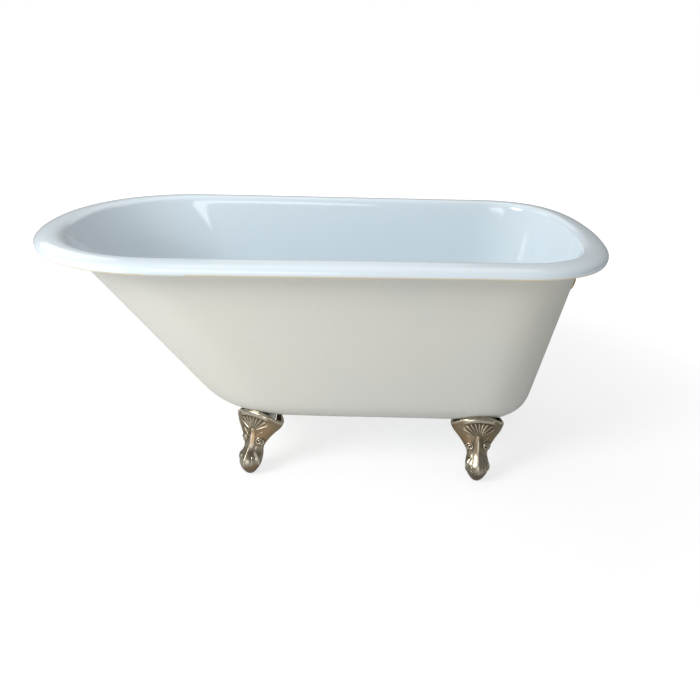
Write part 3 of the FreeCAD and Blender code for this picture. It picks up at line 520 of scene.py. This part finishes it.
def shell_rings():
    """Every ring of the casting, from the middle line of its underside, up the outer wall, over
    the rim and down the inner wall to the middle line of its floor."""
    sizes = bpy.context.scene.bath_sizes
    outer_top = sizes.rim_height - sizes.rim_rise - OUTER_DROP
    inner_top = sizes.rim_height - 2 * INNER_DROP
    inner_floor = sizes.underside + sizes.wall
    rings = [wall_ring(sizes.underside, 0.0, share) for share in FLOOR_SHARES]
    rings += [wall_ring(z) for z in wall_heights(sizes.underside, outer_top)]
    under, over = rim_rings()
    rings += under + over
    rings += [crest_ring(angle) for angle in (0, 20, 40, 60, 78)]
    rings += [wall_ring(z, -sizes.wall) for z in reversed(wall_heights(inner_floor, inner_top))]
    rings += [wall_ring(inner_floor, -sizes.wall, share) for share in reversed(FLOOR_SHARES)]
    return rings


def bath_space(grow):
    """The space inside the bath's outer wall, grown outwards by an allowance."""
    sizes = bpy.context.scene.bath_sizes
    top = sizes.rim_height - 2 * INNER_DROP
    heights = wall_heights(sizes.underside - grow, top, SPACE_RINGS)
    return loft("bath_space", [wall_ring(z, grow) for z in heights])


def foot_place(foot):
    """Middle of a foot's fan (x, y) and its turn in degrees."""
    end, side, along, outwards, turn = foot[1:]
    head_x, tap_x, half = extremes(bpy.context.scene.bath_sizes.underside)
    x = head_x + along if end < 0 else tap_x - along
    return x, side * (half + outwards), turn


# ================================================================ shader expressions


class Wire:
    """A shader socket in an expression. Arithmetic on it adds Math nodes."""

    def __init__(self, finish, socket):
        self.finish, self.socket = finish, socket

    def maths(self, operation, *values):
        """A Math node on these values."""
        return self.finish.node("ShaderNodeMath", {"operation": operation}, *values)

    def __add__(self, other):
        return self.maths("ADD", self, other)

    def __sub__(self, other):
        return self.maths("SUBTRACT", self, other)

    def __rsub__(self, other):
        return self.maths("SUBTRACT", other, self)

    def __mul__(self, other):
        return self.maths("MULTIPLY", self, other)

    def __pow__(self, other):
        return self.maths("POWER", self, other)

    __radd__ = __add__

    def clamped(self):
        """The value kept between 0 and 1."""
        return self.finish.node("ShaderNodeMath", {"operation": "ADD", "use_clamp": True}, self, 0.0)

    def ramp(self, low, high):
        """0 where the value is low or less, 1 where it is high or more, and smooth between."""
        values = {"Value": self, "From Min": low, "From Max": high}
        return self.finish.node("ShaderNodeMapRange", {"interpolation_type": "SMOOTHSTEP"}, **values)


class Finish:
    """A material under construction."""

    def __init__(self, name):
        self.material = bpy.data.materials.new(name)
        self.material.use_nodes = True
        self.tree = self.material.node_tree
        self.tree.nodes.clear()

    def node(self, kind, settings=None, *values, output=None, **named):
        """Adds a node. Plain values go to its sockets in order, named ones by name."""
        made = self.tree.nodes.new(kind)
        for key, value in (settings or {}).items():
            setattr(made, key, value)
        shown = [s for s in made.inputs if s.enabled]
        for socket, value in zip(shown, values):
            self.feed(socket, value)
        for key, value in named.items():
            self.feed(next(s for s in shown if s.name == key), value)
        outputs = [s for s in made.outputs if s.enabled and output in (None, s.name)]
        return Wire(self, outputs[0]) if outputs else made

    def feed(self, socket, value):
        """Links an expression to a socket, or sets a plain value or colour on it."""
        if isinstance(value, Wire):
            self.tree.links.new(value.socket, socket)
        elif socket.type == "RGBA" and len(value) == 3:
            socket.default_value = (*value, 1.0)
        else:
            socket.default_value = value

    def place(self):
        """Where a point is on the piece."""
        return self.node("ShaderNodeTexCoord", output="Object")

    def axes(self):
        """The X, Y and Z of a point on the piece."""
        made = self.node("ShaderNodeSeparateXYZ", None, self.place())
        return [Wire(self, socket) for socket in made.socket.node.outputs]

    def noise(self, scale, detail=3.0, roughness=0.55, stretch=None):
        """Noise from 0 to 1 with a scale per metre."""
        place = self.place()
        if stretch:
            place = self.node("ShaderNodeMapping", None, Vector=place, Scale=stretch)
        values = {"Vector": place, "Scale": scale, "Detail": detail, "Roughness": roughness}
        return self.node("ShaderNodeTexNoise", None, output="Fac", **values)

    def mix(self, share, first, second):
        """The first colour at share 0 and the second at 1."""
        return self.node("ShaderNodeMix", {"data_type": "RGBA"}, Factor=share, A=first, B=second)

    def bump(self, height, distance, strength=1.0):
        values = {"Strength": strength, "Distance": distance, "Height": height}
        return self.node("ShaderNodeBump", None, **values)

    def surface(self, **named):
        """Ends the material with a Principled surface. A double underscore in a name stands
        for a space."""
        sockets = {key.replace("__", " "): value for key, value in named.items()}
        shader = self.node("ShaderNodeBsdfPrincipled", None, **sockets)
        self.node("ShaderNodeOutputMaterial", None, Surface=shader)
        return self.material


def linear(colour):
    """An sRGB colour from 0 to 255 in scene values."""
    shares = [value / 255.0 for value in colour]
    return [s / 12.92 if s <= 0.04045 else ((s + 0.055) / 1.055) ** 2.4 for s in shares]


# ================================================================ the finishes


def enamel_finish():
    """Bluish white vitreous enamel with a soft waviness, a little dulled towards the floor."""
    colours = bpy.context.scene.bath_colours
    f = Finish("enamel")
    x, _, z = f.axes()
    cloud = f.noise(3.0, 4.0)
    worn = f.noise(14.0, 5.0, 0.6)
    low = 1 - z.ramp(0.15, 0.42)
    tap_end = x.ramp(0.36, 0.50)
    tide = (low * worn.ramp(0.45, 0.75) * 0.35 + cloud.ramp(0.55, 0.8) * 0.12).clamped()
    stain = (tap_end * low * worn.ramp(0.48, 0.66) * 0.35).clamped()
    colour = f.mix(tide, tuple(colours.enamel), tuple(colours.enamel_dull))
    colour = f.mix(stain, colour, tuple(colours.enamel_stain))
    waves = f.noise(9.0, 2.0) * 0.7 + f.noise(55.0, 2.0) * 0.3
    return f.surface(
        Base__Color=colour,
        Roughness=0.10 + tide * 0.25,
        Coat__Weight=0.6,
        Coat__Roughness=0.04,
        Normal=f.bump(waves, 0.0012, 0.25),
    )


def paint_finish():
    """Satin cream paint brushed over cast iron, with the casting's grain showing through."""
    colours = bpy.context.scene.bath_colours
    f = Finish("exterior_paint")
    z = f.axes()[2]
    cloud = f.noise(2.2, 4.0)
    speckle = f.noise(60.0, 4.0, 0.65)
    grain = f.noise(420.0, 3.0) * 0.5 + f.noise(130.0, 3.0) * 0.5
    # The paint is tinted warmer and yellower in a band just under the rim.
    under_rim = z.ramp(0.570, 0.596)
    colour = f.mix(cloud.ramp(0.35, 0.7), tuple(colours.paint), tuple(colours.paint_cool))
    colour = f.mix(speckle.ramp(0.6, 0.8) * 0.25, colour, tuple(colours.paint_speckle))
    colour = f.mix(under_rim * 0.6, colour, tuple(colours.paint_warm))
    return f.surface(
        Base__Color=colour,
        Roughness=0.36 + speckle * 0.16,
        Normal=f.bump(grain, 0.0006, 0.35),
    )


def foot_finish():
    """Worn plated metal: pale where it stands out, brown in the hollows, mottled between,
    rubbed grey on the shin and darker towards the floor."""
    colours = bpy.context.scene.bath_colours
    f = Finish("aged_foot_metal")
    z = f.axes()[2]
    relief = f.node("ShaderNodeAttribute", {"attribute_name": "relief"}, output="Fac")
    mottle = f.noise(38.0, 6.0, 0.62)
    patch = f.noise(13.0, 3.0)
    fine = f.noise(260.0, 4.0, 0.6)
    high = (relief.ramp(0.52, 0.74) + (mottle - 0.5) * 0.3).clamped()
    deep = (1 - relief.ramp(0.30, 0.48) + (mottle - 0.55) * 0.4).clamped()
    shin = z.ramp(0.026, 0.044) * (1 - z.ramp(0.078, 0.108))
    bottom = 1 - z.ramp(0.004, 0.045)
    colour = f.mix(patch.ramp(0.4, 0.62), tuple(colours.foot_mid), tuple(colours.foot_patch))
    colour = f.mix(shin * mottle.ramp(0.30, 0.62) * 0.6, colour, tuple(colours.foot_rubbed))
    colour = f.mix(high * 0.8, colour, tuple(colours.foot_high))
    colour = f.mix(deep * 0.85, colour, tuple(colours.foot_deep))
    # Darker towards the floor: a dark brown is mixed in over the lowest few centimetres.
    colour = f.mix(bottom * 0.45, colour, tuple(colours.foot_bottom_dark))
    return f.surface(
        Base__Color=colour,
        Metallic=1 - deep * 0.4,
        Roughness=(0.24 + mottle * 0.16 + deep * 0.22 - high * 0.06).clamped(),
        Normal=f.bump(fine * 0.4 + mottle * 0.6, 0.0008, 0.35),
    )


def plated_finish():
    """Aged plated brass of the waste, the overflow and the plug's ring."""
    colours = bpy.context.scene.bath_colours
    f = Finish("aged_brass")
    dull = f.noise(70.0, 5.0, 0.6)
    brushed = f.noise(220.0, 3.0, 0.5, (1.0, 1.0, 6.0))
    colour = f.mix(dull.ramp(0.42, 0.72) * 0.7, tuple(colours.brass), tuple(colours.brass_dull))
    return f.surface(
        Base__Color=colour,
        Metallic=1.0,
        Roughness=0.18 + dull * 0.22,
        Normal=f.bump(brushed, 0.0002, 0.3),
    )


def zinc_finish():
    """Dull zinc on the feet's bolts, washers and nuts, with a little rust."""
    colours = bpy.context.scene.bath_colours
    f = Finish("dull_zinc")
    patch = f.noise(120.0, 5.0, 0.65)
    rust = patch.ramp(0.58, 0.74)
    return f.surface(
        Base__Color=f.mix(rust * 0.6, tuple(colours.zinc), tuple(colours.rust)),
        Metallic=1 - rust * 0.6,
        Roughness=0.38 + rust * 0.35,
        Normal=f.bump(patch, 0.0002, 0.4),
    )


def rubber_finish():
    """Matte black rubber with a dusty bloom."""
    colours = bpy.context.scene.bath_colours
    f = Finish("black_rubber")
    bloom = f.noise(90.0, 4.0, 0.6)
    dusty = bloom.ramp(0.5, 0.75) * 0.6
    return f.surface(
        Base__Color=f.mix(dusty, tuple(colours.rubber), tuple(colours.rubber_dusty)),
        Roughness=0.62 + bloom * 0.2,
        Normal=f.bump(f.noise(500.0, 2.0), 0.0001, 0.4),
    )


# ================================================================ the pieces


class BATH_OT_shell(bpy.types.Operator):
    """Models the bath's shell with its rolled rim, lugs and bosses"""

    bl_idname = "bath.shell"
    bl_label = "Bath Shell"

    def execute(self, context):
        shell = loft("bath_shell", shell_rings(), cap=False)
        paint, enamel = paint_finish(), enamel_finish()
        shell.data.materials.append(paint)
        shell.data.materials.append(enamel)
        self.colour_inside(shell)
        subdivide(shell, 1)
        combine(shell, self.bosses(), "UNION")
        combine(shell, self.openings(enamel, paint), "DIFFERENCE")
        smooth(shell, 38)
        finish_piece(shell, "enamelled_iron", "bath_casting")
        return {"FINISHED"}

    def colour_inside(self, shell):
        """Gives the enamel to the inner wall, the floor and the top of the roll."""
        sizes = bpy.context.scene.bath_sizes
        lip_z = sizes.rim_height - sizes.rim_rise - sizes.lip_drop
        for face in shell.data.polygons:
            x, y, z = face.center
            level = max(min(z - drop(x, z), wall_top()), sizes.underside)
            head_x, tap_x = extremes(level, -sizes.wall / 2)[:2]
            outward = face.normal.dot(Vector((x - (head_x + tap_x) / 2, y, 0.0)))
            if z > lip_z:
                inside = face.normal.z > -0.25 or outward < 0 or self.on_lip(face)
            else:
                inside = face.normal.z > 0.02 or outward < 0
            face.material_index = int(inside)

    def on_lip(self, face):
        """Whether the face is at the rim's outermost edge."""
        sizes = bpy.context.scene.bath_sizes
        edge = max(abs(face.center.x) - sizes.length / 2, abs(face.center.y) - sizes.width / 2)
        return edge > -LIP_FACE

    def bosses(self):
        """The lugs that hold the feet, and the bosses of the waste and the overflow."""
        sizes = bpy.context.scene.bath_sizes
        pieces = []
        for foot in FEET:
            x, y, turn = foot_place(foot)
            lug = move(self.lug(), turn, x, y)
            pieces.append(combine(lug, bath_space(-sizes.wall / 2), "DIFFERENCE"))
        low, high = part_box("waste_rubber_washer")
        middle = (low + high) / 2
        radius, depth = WASTE_BOSS
        ends = (high.z, high.z + depth)
        pieces.append(turned_drum("waste_boss", radius, *ends, middle.x, 0.0, 0.0012))
        pieces.append(self.overflow_drum("overflow_boss", *OVERFLOW_BOSS, 0.001))
        return join(*pieces)

    def lug(self):
        """A lug with the slot that its bolt slides into."""
        half = LUG_SIZE / 2
        back = BOLT_INSET - SLOT_BACK
        low = (-half, BOLT_INSET - half, LUG_BOTTOM)
        lug = box("lug", low, (half, BOLT_INSET + half, LUG_TOP), LUG_ROUND)
        neck_top = LUG_BOTTOM + NECK_TOP
        neck = box("neck", (-NECK_HALF, back, 0.1), (NECK_HALF, SLOT_RUN, neck_top))
        wide = box("wide", (-WIDE_HALF, back, WIDE_LOW), (WIDE_HALF, SLOT_RUN, WIDE_HIGH))
        combine(lug, neck, "DIFFERENCE")
        return combine(lug, wide, "DIFFERENCE")

    def openings(self, enamel, paint):
        """What the waste and the overflow take out of the shell."""
        low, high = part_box("waste_bedding_ring")
        x = (low.x + high.x) / 2
        pieces = [
            turned_drum("recess", WASTE_RECESS_RADIUS, low.z, low.z + 0.02, x, sides=96),
            turned_drum("waste_hole", WASTE_HOLE_RADIUS, low.z - 0.03, low.z + 0.01, x),
            self.overflow_drum("overflow_hole", *OVERFLOW_HOLE),
            self.overflow_drum("overflow_face", *OVERFLOW_FACE),
        ]
        first = pieces[0]
        for piece in pieces[1:]:
            combine(first, piece, "UNION")
        first.data.materials.append(paint)
        first.data.materials.append(enamel)
        for face in first.data.polygons:
            face.material_index = 1
        return first

    def overflow_drum(self, name, radius, low, high, bevel=0.0):
        """A drum square to the tap end's wall, between two depths from its outer face."""
        sizes = bpy.context.scene.bath_sizes
        z = sizes.rim_height - OVERFLOW_DROP
        x = extremes(z)[1]
        piece = turned_drum(name, radius, low, high, bevel=bevel, sides=72)
        piece.rotation_euler = (0.0, math.radians(90 + TAP_WALL[0]), 0.0)
        piece.location = (x, 0.0, z + drop(x, z))
        return settle(piece)


def foot_profile(height):
    """Half width, reach and half depth of a foot at heights in millimetres."""
    table = np.array(FOOT_SECTIONS)
    return [np.interp(height, table[:, 0], table[:, column]) for column in (1, 2, 3)]


def foot_ring(height, shrink=0.0):
    """A ring of a foot that faces -Y. Its upper rings bend down to the fan's ears."""
    half, reach, depth = foot_profile(height)
    a = np.linspace(0.0, 2 * np.pi, FOOT_POINTS, endpoint=False)
    x = (half - shrink) * np.sin(a)
    y = -reach - (depth - shrink) * np.cos(a)
    z = height - arch_drop(x, height)
    return [Vector(point) * 0.001 for point in zip(x, y, z)]


def arch_drop(x, height):
    """How far the arched top of the fan pulls a point down."""
    return FAN_ARCH * (np.abs(x) / FAN_HALF) ** 2 * step(ARCH_START, FOOT_TOP, height)


def spiral(side):
    """Points of a scroll beside the ridge, from its outer end round to its eye, as (x, z)."""
    t = np.linspace(0.0, 1.0, 60)
    turn = np.radians(-60.0 + 560.0 * t)
    radius = 11.5 - 9.0 * t**0.8
    x, z = SCROLL_X + radius * np.cos(turn), SCROLL_Z + radius * np.sin(turn)
    return np.column_stack([side * x, z])


def bead(distance, half_width, height):
    """A round bead of a given width and height at a distance from its middle line."""
    return height * np.sqrt(np.clip(1.0 - (distance / half_width) ** 2, 0.0, 1.0))


def crest(distance, half_width, height):
    """A sharp ridge with two flat sides, at a distance from its top line."""
    return height * np.clip(1.0 - np.abs(distance) / half_width, 0.0, 1.0)


def distance_to(points, x, z):
    """Distance from each (x, z) to the nearest of some points."""
    nearest = np.full(x.shape, 1e3)
    for px, pz in points:
        nearest = np.minimum(nearest, np.hypot(x - px, z - pz))
    return nearest


def fan_relief(x, z, flutes):
    """Height in millimetres of what stands out of the fan: flutes, lip, leaves and scrolls."""
    out = np.hypot(x, z - FAN_HUB)
    turn = np.degrees(np.arctan2(x, z - FAN_HUB))
    half_spread = FLUTE_SPREAD / 2
    pitch = FLUTE_SPREAD / (flutes - 1)
    lip_z = 169.0 - 22.0 * (x / 66.0) ** 2
    wave = np.abs(np.cos(np.pi * turn / pitch)) ** 3
    beside = step(half_spread + 0.2 * pitch, half_spread + 0.5 * pitch, np.abs(turn))
    inside = step(6.0, 16.0, out) * (1 - step(-10.0, -6.0, z - lip_z)) * (1 - step(42.0, 48.0, out))
    relief = 1.8 * wave * inside * (1 - beside)
    relief += bead(z - lip_z, 8.0, 4.2) * (1 - step(30.0, 50.0, np.abs(x)))
    relief += bead(out, 5.0, 1.6)
    for side in (-1, 1):
        mound = np.hypot(x - side * SCROLL_X, z - SCROLL_Z)
        scroll = bead(distance_to(spiral(side), x, z), 2.0, 2.2)
        middle = side * np.interp(z, [102.0, 108.0, 124.0], [7.0, 12.0, 30.0])
        leaf = bead(x - middle, 2.0, 1.4) * step(103.0, 106.0, z) * (1 - step(121.0, 125.0, z))
        eye = bead(np.hypot((x - side * EYE_X) / 1.7, z - EYE_Z), 5.0, 1.4)
        relief += 1.4 * (1 - step(8.0, 15.0, mound)) + scroll
        relief = relief + leaf - eye
    return relief


def shin_relief(across, z):
    """The sharp ridge from the fan's hub down to the broad middle toe, whose edges stand up."""
    heights = [29, 33, 40, 48, 56, 66, 80, 95, 110, 126]
    width = np.interp(z, heights, [9, 16, 20.5, 20, 17, 15.5, 15.5, 15, 11, 5])
    rise = np.interp(z, heights, [0, 2.8, 4.2, 4.6, 5.0, 5.4, 5.8, 5.8, 4.6, 0])
    claw = bead(across, 2.2, 1.3) * step(29.0, 34.0, z) * (1 - step(46.0, 54.0, z))
    line = bead(np.abs(across) - width, 1.5, 1.5) * step(31.0, 36.0, z) * (1 - step(56.0, 62.0, z))
    return np.maximum(crest(across, width, rise) + claw, line)


def toe_relief(around, radius, z):
    """The two side toes, which spread round the ball and end in claws."""
    width = np.interp(z, [27, 33, 42, 52, 62, 72], [3.0, 6.0, 8.0, 8.0, 6.5, 5.0])
    rise = np.interp(z, [27, 31, 42, 52, 62, 72], [0.0, 2.4, 3.8, 3.6, 2.6, 0.0])
    relief = np.zeros(z.shape)
    for side in (-1, 1):
        top = side * np.interp(z, [30, 58, 72], [82.0, 60.0, 40.0])
        relief = np.maximum(relief, crest(np.radians(around - top) * radius, width, rise))
    return relief


def carve(foot, flutes):
    """Moves a foot's points along their normals by its relief."""
    places = points_of(foot) * 1000.0
    normals = np.zeros(places.size)
    foot.data.vertices.foreach_get("normal", normals)
    normals = normals.reshape(-1, 3)
    x, y, z = places.T
    back = -(y + foot_profile(z)[1])
    around, radius = np.degrees(np.arctan2(x, back)), np.hypot(x, back)
    fan = fan_relief(x, z, flutes) * step(0.05, 0.45, -normals[:, 1])
    toes = toe_relief(around, radius, z) * step(-0.5, 0.1, -normals[:, 1])
    relief = toes + (fan - toes) * step(FAN_FROM, FAN_FULL, z)
    relief = np.maximum(relief, shin_relief(np.radians(around) * radius, z))
    set_points(foot, (places + normals * relief[:, None]) * 0.001)


def mark_relief(piece):
    """Stores how far each point stands out of its surroundings, from 0, deep, to 1, high."""
    places = points_of(piece)
    count = len(places)
    ends = np.zeros(len(piece.data.edges) * 2, np.int64)
    piece.data.edges.foreach_get("vertices", ends)
    a, b = ends.reshape(-1, 2).T
    links = np.bincount(a, minlength=count) + np.bincount(b, minlength=count)
    normals = np.zeros(count * 3)
    piece.data.vertices.foreach_get("normal", normals)
    normals = normals.reshape(-1, 3)
    calm = places.copy()
    height = np.zeros(count)
    for turn in range(RELIEF_TURNS):
        summed = np.zeros_like(calm)
        for axis in range(3):
            summed[:, axis] += np.bincount(a, calm[b, axis], count)
            summed[:, axis] += np.bincount(b, calm[a, axis], count)
        calm = summed / links[:, None]
        if turn in RELIEF_SEEN:
            height += np.einsum("ij,ij->i", places - calm, normals)
    relief = piece.data.attributes.new("relief", "FLOAT", "POINT")
    relief.data.foreach_set("value", np.clip(0.5 + height * RELIEF_GAIN, 0.0, 1.0))


class BATH_OT_feet(bpy.types.Operator):
    """Models one claw foot and sets four of them under the bath"""

    bl_idname = "bath.feet"
    bl_label = "Claw Feet"

    def execute(self, context):
        pattern = self.pattern(context.scene.bath_sizes.flutes)
        metal = foot_finish()
        for foot in FEET:
            x, y, turn = foot_place(foot)
            piece = pattern.copy()
            piece.data = pattern.data.copy()
            context.collection.objects.link(piece)
            piece.name = piece.data.name = "claw_foot_" + foot[0]
            move(piece, turn, x, y)
            combine(piece, bath_space(FOOT_GAP), "DIFFERENCE")
            mark_relief(piece)
            piece.data.materials.append(metal)
            smooth(piece, 50)
            finish_piece(piece, "aged_foot_metal", "foot_" + foot[0])
        bpy.data.objects.remove(pattern)
        return {"FINISHED"}

    def pattern(self, flutes):
        """One foot with its fan over the origin, facing -Y."""
        foot = loft("foot_pattern", [foot_ring(section[0]) for section in FOOT_SECTIONS])
        subdivide(foot, 3)
        carve(foot, flutes)
        self.hollow_out(foot)
        return self.add_tongue(foot)

    def hollow_out(self, foot):
        """Opens the space behind the fan towards the middle of the bath."""
        floor = LUG_BOTTOM * 1000.0
        heights = np.linspace(floor + 2.0, FOOT_TOP + 4.0, 8)  # millimetres
        hollow = loft("hollow", [foot_ring(height, FOOT_WALL) for height in heights])
        subdivide(hollow, 2)
        combine(foot, hollow, "DIFFERENCE")
        back = box("back", (*BACK_LOW, LUG_BOTTOM), (*BACK_HIGH, BACK_TOP), BACK_ROUND)
        combine(foot, back, "DIFFERENCE")

    def add_tongue(self, foot):
        """The shelf that the bolt clamps up against the lug."""
        low = LUG_BOTTOM - TONGUE
        half = LUG_SIZE / 2
        shelf = box("shelf", (-half, -TONGUE_ROOT, low), (half, BOLT_INSET, LUG_BOTTOM))
        end = turned_drum("end", half, low, LUG_BOTTOM, 0.0, BOLT_INSET)
        combine(shelf, end, "UNION")
        apply_modifier(shelf, "BEVEL", width=TONGUE_ROUND, segments=2, limit_method="ANGLE")
        combine(foot, shelf, "UNION")
        ends = (low - 0.03, LUG_BOTTOM + 0.01)
        hole = turned_drum("hole", BOLT_HOLE_RADIUS, *ends, 0.0, BOLT_INSET)
        return combine(foot, hole, "DIFFERENCE")


class BATH_OT_fittings(bpy.types.Operator):
    """Finishes the metal and rubber fittings that come from the CAD model"""

    bl_idname = "bath.fittings"
    bl_label = "Fittings"

    def execute(self, context):
        finishes = {
            "steel": zinc_finish(),
            "brass": plated_finish(),
            "rubber": rubber_finish(),
        }
        for part in FRAME["record"]["subparts"]:
            node = FRAME["nodes"][part["node"]]
            if part["material_slot"] in finishes:
                node.data.materials.clear()
                node.data.materials.append(finishes[part["material_slot"]])
        return {"FINISHED"}


# ================================================================ the stage


class BATH_OT_stage(bpy.types.Operator):
    """Sets the floor, the soft studio light and the camera"""

    bl_idname = "bath.stage"
    bl_label = "Stage"

    def execute(self, context):
        scene = context.scene
        scene.view_settings.view_transform = "Standard"
        self.floor()
        self.sky(scene)
        for lamp in LAMPS:
            self.lamp(*lamp)
        self.camera(scene)
        return {"FINISHED"}

    def floor(self):
        """A round floor: pale paper to the light, and near white to the camera."""
        colours = bpy.context.scene.bath_colours
        deselect()
        bpy.ops.mesh.primitive_circle_add(vertices=96, radius=FLOOR_RADIUS, fill_type="NGON")
        floor = bpy.context.object
        floor.name = floor.data.name = "studio_floor"
        f = Finish("studio_floor")
        x, y, _ = f.axes()
        away = ((x * x + y * y) ** 0.5).ramp(FADE_NEAR, FADE_FAR)
        strength = f.noise(3.0, 2.0) * 0.02 + away * 0.3 + FLOOR_GLOW
        paper = f.node("ShaderNodeBsdfDiffuse", None, Color=tuple(colours.floor))
        pale = f.node("ShaderNodeBsdfDiffuse", None, Color=tuple(colours.floor_seen))
        glow = f.node("ShaderNodeEmission", None, Color=(1.0, 1.0, 1.0), Strength=strength)
        both = f.node("ShaderNodeAddShader", None, pale, glow)
        seen = f.node("ShaderNodeLightPath", output="Is Camera Ray")
        shader = f.node("ShaderNodeMixShader", None, seen, paper, both)
        f.node("ShaderNodeOutputMaterial", None, Surface=shader)
        floor.data.materials.append(f.material)

    def sky(self, scene):
        """White where the camera sees it, and plain pale light otherwise."""
        world = bpy.data.worlds.new("studio_sky")
        scene.world = world
        world.use_nodes = True
        tree = world.node_tree
        tree.nodes.clear()
        path = tree.nodes.new("ShaderNodeLightPath")
        mixed = tree.nodes.new("ShaderNodeMixShader")
        end = tree.nodes.new("ShaderNodeOutputWorld")
        tree.links.new(path.outputs["Is Camera Ray"], mixed.inputs[0])
        for socket, strength in zip(mixed.inputs[1:], (SKY_STRENGTH, 1.0)):
            light = tree.nodes.new("ShaderNodeBackground")
            light.inputs["Color"].default_value = (1.0, 1.0, 1.0, 1.0)
            light.inputs["Strength"].default_value = strength
            tree.links.new(light.outputs[0], socket)
        tree.links.new(mixed.outputs[0], end.inputs["Surface"])

    def lamp(self, name, place, aim, size, watts):
        """A round soft lamp, turned to a point over the middle of the stage."""
        light = bpy.data.lights.new(name, "AREA")
        light.shape, light.size, light.energy = "DISK", size, watts
        lamp = bpy.data.objects.new(name, light)
        lamp.location = place
        look = Vector((0.0, 0.0, aim)) - Vector(place)
        lamp.rotation_mode = "QUATERNION"
        lamp.rotation_quaternion = look.to_track_quat("-Z", "Y")
        bpy.context.collection.objects.link(lamp)

    def camera(self, scene):
        camera = bpy.data.objects.new("camera", bpy.data.cameras.new("camera"))
        camera.data.lens, camera.data.sensor_width = CAMERA_LENS, CAMERA_SENSOR
        camera.location = CAMERA_PLACE
        look = Vector(CAMERA_TARGET) - camera.location
        roll = Quaternion((0.0, 0.0, 1.0), math.radians(CAMERA_ROLL))
        camera.rotation_mode = "QUATERNION"
        camera.rotation_quaternion = look.to_track_quat("-Z", "Y") @ roll
        scene.collection.objects.link(camera)
        scene.camera = camera


# ================================================================ the settings and their panel


def length_property(name, description, default):
    return FloatProperty(name=name, description=description, default=default, unit="LENGTH", min=0.001)


def colour_property(name, description, default):
    return FloatVectorProperty(
        name=name, description=description, default=linear(default), subtype="COLOR", min=0.0, max=1.0
    )


class BathSizes(bpy.types.PropertyGroup):
    """Sizes of the shell and the feet"""

    length: length_property("Length", "Over the rolled rim", CAD_SIZE.x)
    width: length_property("Width", "Over the rolled rim", CAD_SIZE.y)
    rim_height: length_property("Rim height", "Floor to the crest of the rim", CAD_BOX[1].z)
    rim_reach: length_property("Rim reach", "Crest to the outermost edge of the roll", 0.045)
    rim_rise: length_property("Rim rise", "Outermost edge up to the crest", 0.018)
    lip_drop: length_property("Lip drop", "Outermost edge down to the tip of the lip", 0.012)
    wall: length_property("Wall", "Thickness of the casting", 0.007)
    underside: length_property("Underside", "Floor to the underside of the bath", 0.145)
    flutes: IntProperty(
        name="Flutes", description="Flutes on each foot's fan", default=9, min=3, max=11
    )


class BathColours(bpy.types.PropertyGroup):
    """Colours of the finishes"""

    enamel: colour_property("Enamel", "Inside and rim", (222, 234, 241))
    enamel_dull: colour_property("Dull enamel", "Where the enamel is worn", (204, 214, 214))
    enamel_stain: colour_property("Stain", "Faint stain at the tap end", (186, 199, 178))
    paint: colour_property("Paint", "Outside of the bath", (209, 208, 199))
    paint_cool: colour_property("Cooler paint", "Cloudy patches of the paint", (205, 206, 201))
    paint_speckle: colour_property("Speckles", "Small marks in the paint", (188, 182, 162))
    # The warmer, yellower tint of the band just under the rim.
    paint_warm: colour_property("Warm paint", "Yellowed band under the rim", (232, 213, 178))
    foot_high: colour_property("Foot highlights", "What stands out of a foot", (194, 187, 170))
    foot_mid: colour_property("Foot metal", "Body of a foot", (142, 121, 94))
    foot_patch: colour_property("Foot patches", "Greyer patches of the body", (124, 115, 96))
    foot_rubbed: colour_property("Rubbed metal", "Worn plating on the shin", (172, 168, 156))
    foot_deep: colour_property("Foot hollows", "Patina in the hollows", (70, 56, 39))
    # The dark brown that the feet are mixed towards near the floor.
    foot_bottom_dark: colour_property("Foot grime", "Dirt near the floor", (70, 64, 50))
    brass: colour_property("Brass", "Waste, overflow and ring", (196, 176, 128))
    brass_dull: colour_property("Dull brass", "Tarnish on the brass", (120, 100, 62))
    zinc: colour_property("Zinc", "Bolts, washers and nuts", (150, 150, 148))
    rust: colour_property("Rust", "Rust on the zinc", (104, 74, 52))
    rubber: colour_property("Rubber", "Plug and washers", (30, 30, 30))
    rubber_dusty: colour_property("Dusty rubber", "Bloom on the rubber", (66, 66, 64))
    floor: colour_property("Floor", "Studio floor in the light", (236, 236, 236))
    floor_seen: colour_property("Seen floor", "Studio floor to the camera", (160, 160, 160))


class BATH_PT_panel(bpy.types.Panel):
    """Lists the bath's pieces, sizes and colours"""

    bl_idname = "BATH_PT_panel"
    bl_label = "Bath"
    bl_space_type = "VIEW_3D"
    bl_region_type = "UI"
    bl_category = "Bath"

    def draw(self, context):
        for piece in STEPS:
            self.layout.operator(piece.bl_idname)
        for group in (context.scene.bath_sizes, context.scene.bath_colours):
            column = self.layout.column()
            for key in group.__annotations__:
                column.prop(group, key)


STEPS = (BATH_OT_shell, BATH_OT_feet, BATH_OT_fittings, BATH_OT_stage)
CLASSES = (BathSizes, BathColours, *STEPS, BATH_PT_panel)


def register():
    for entry in CLASSES:
        bpy.utils.register_class(entry)
    bpy.types.Scene.bath_sizes = PointerProperty(type=BathSizes)
    bpy.types.Scene.bath_colours = PointerProperty(type=BathColours)


def unregister():
    del bpy.types.Scene.bath_colours
    del bpy.types.Scene.bath_sizes
    for entry in reversed(CLASSES):
        bpy.utils.unregister_class(entry)


def main():
    register()
    bpy.ops.bath.shell()
    bpy.ops.bath.feet()
    bpy.ops.bath.fittings()
    bpy.ops.bath.stage()
    deselect()


if __name__ == "__main__":
    main()
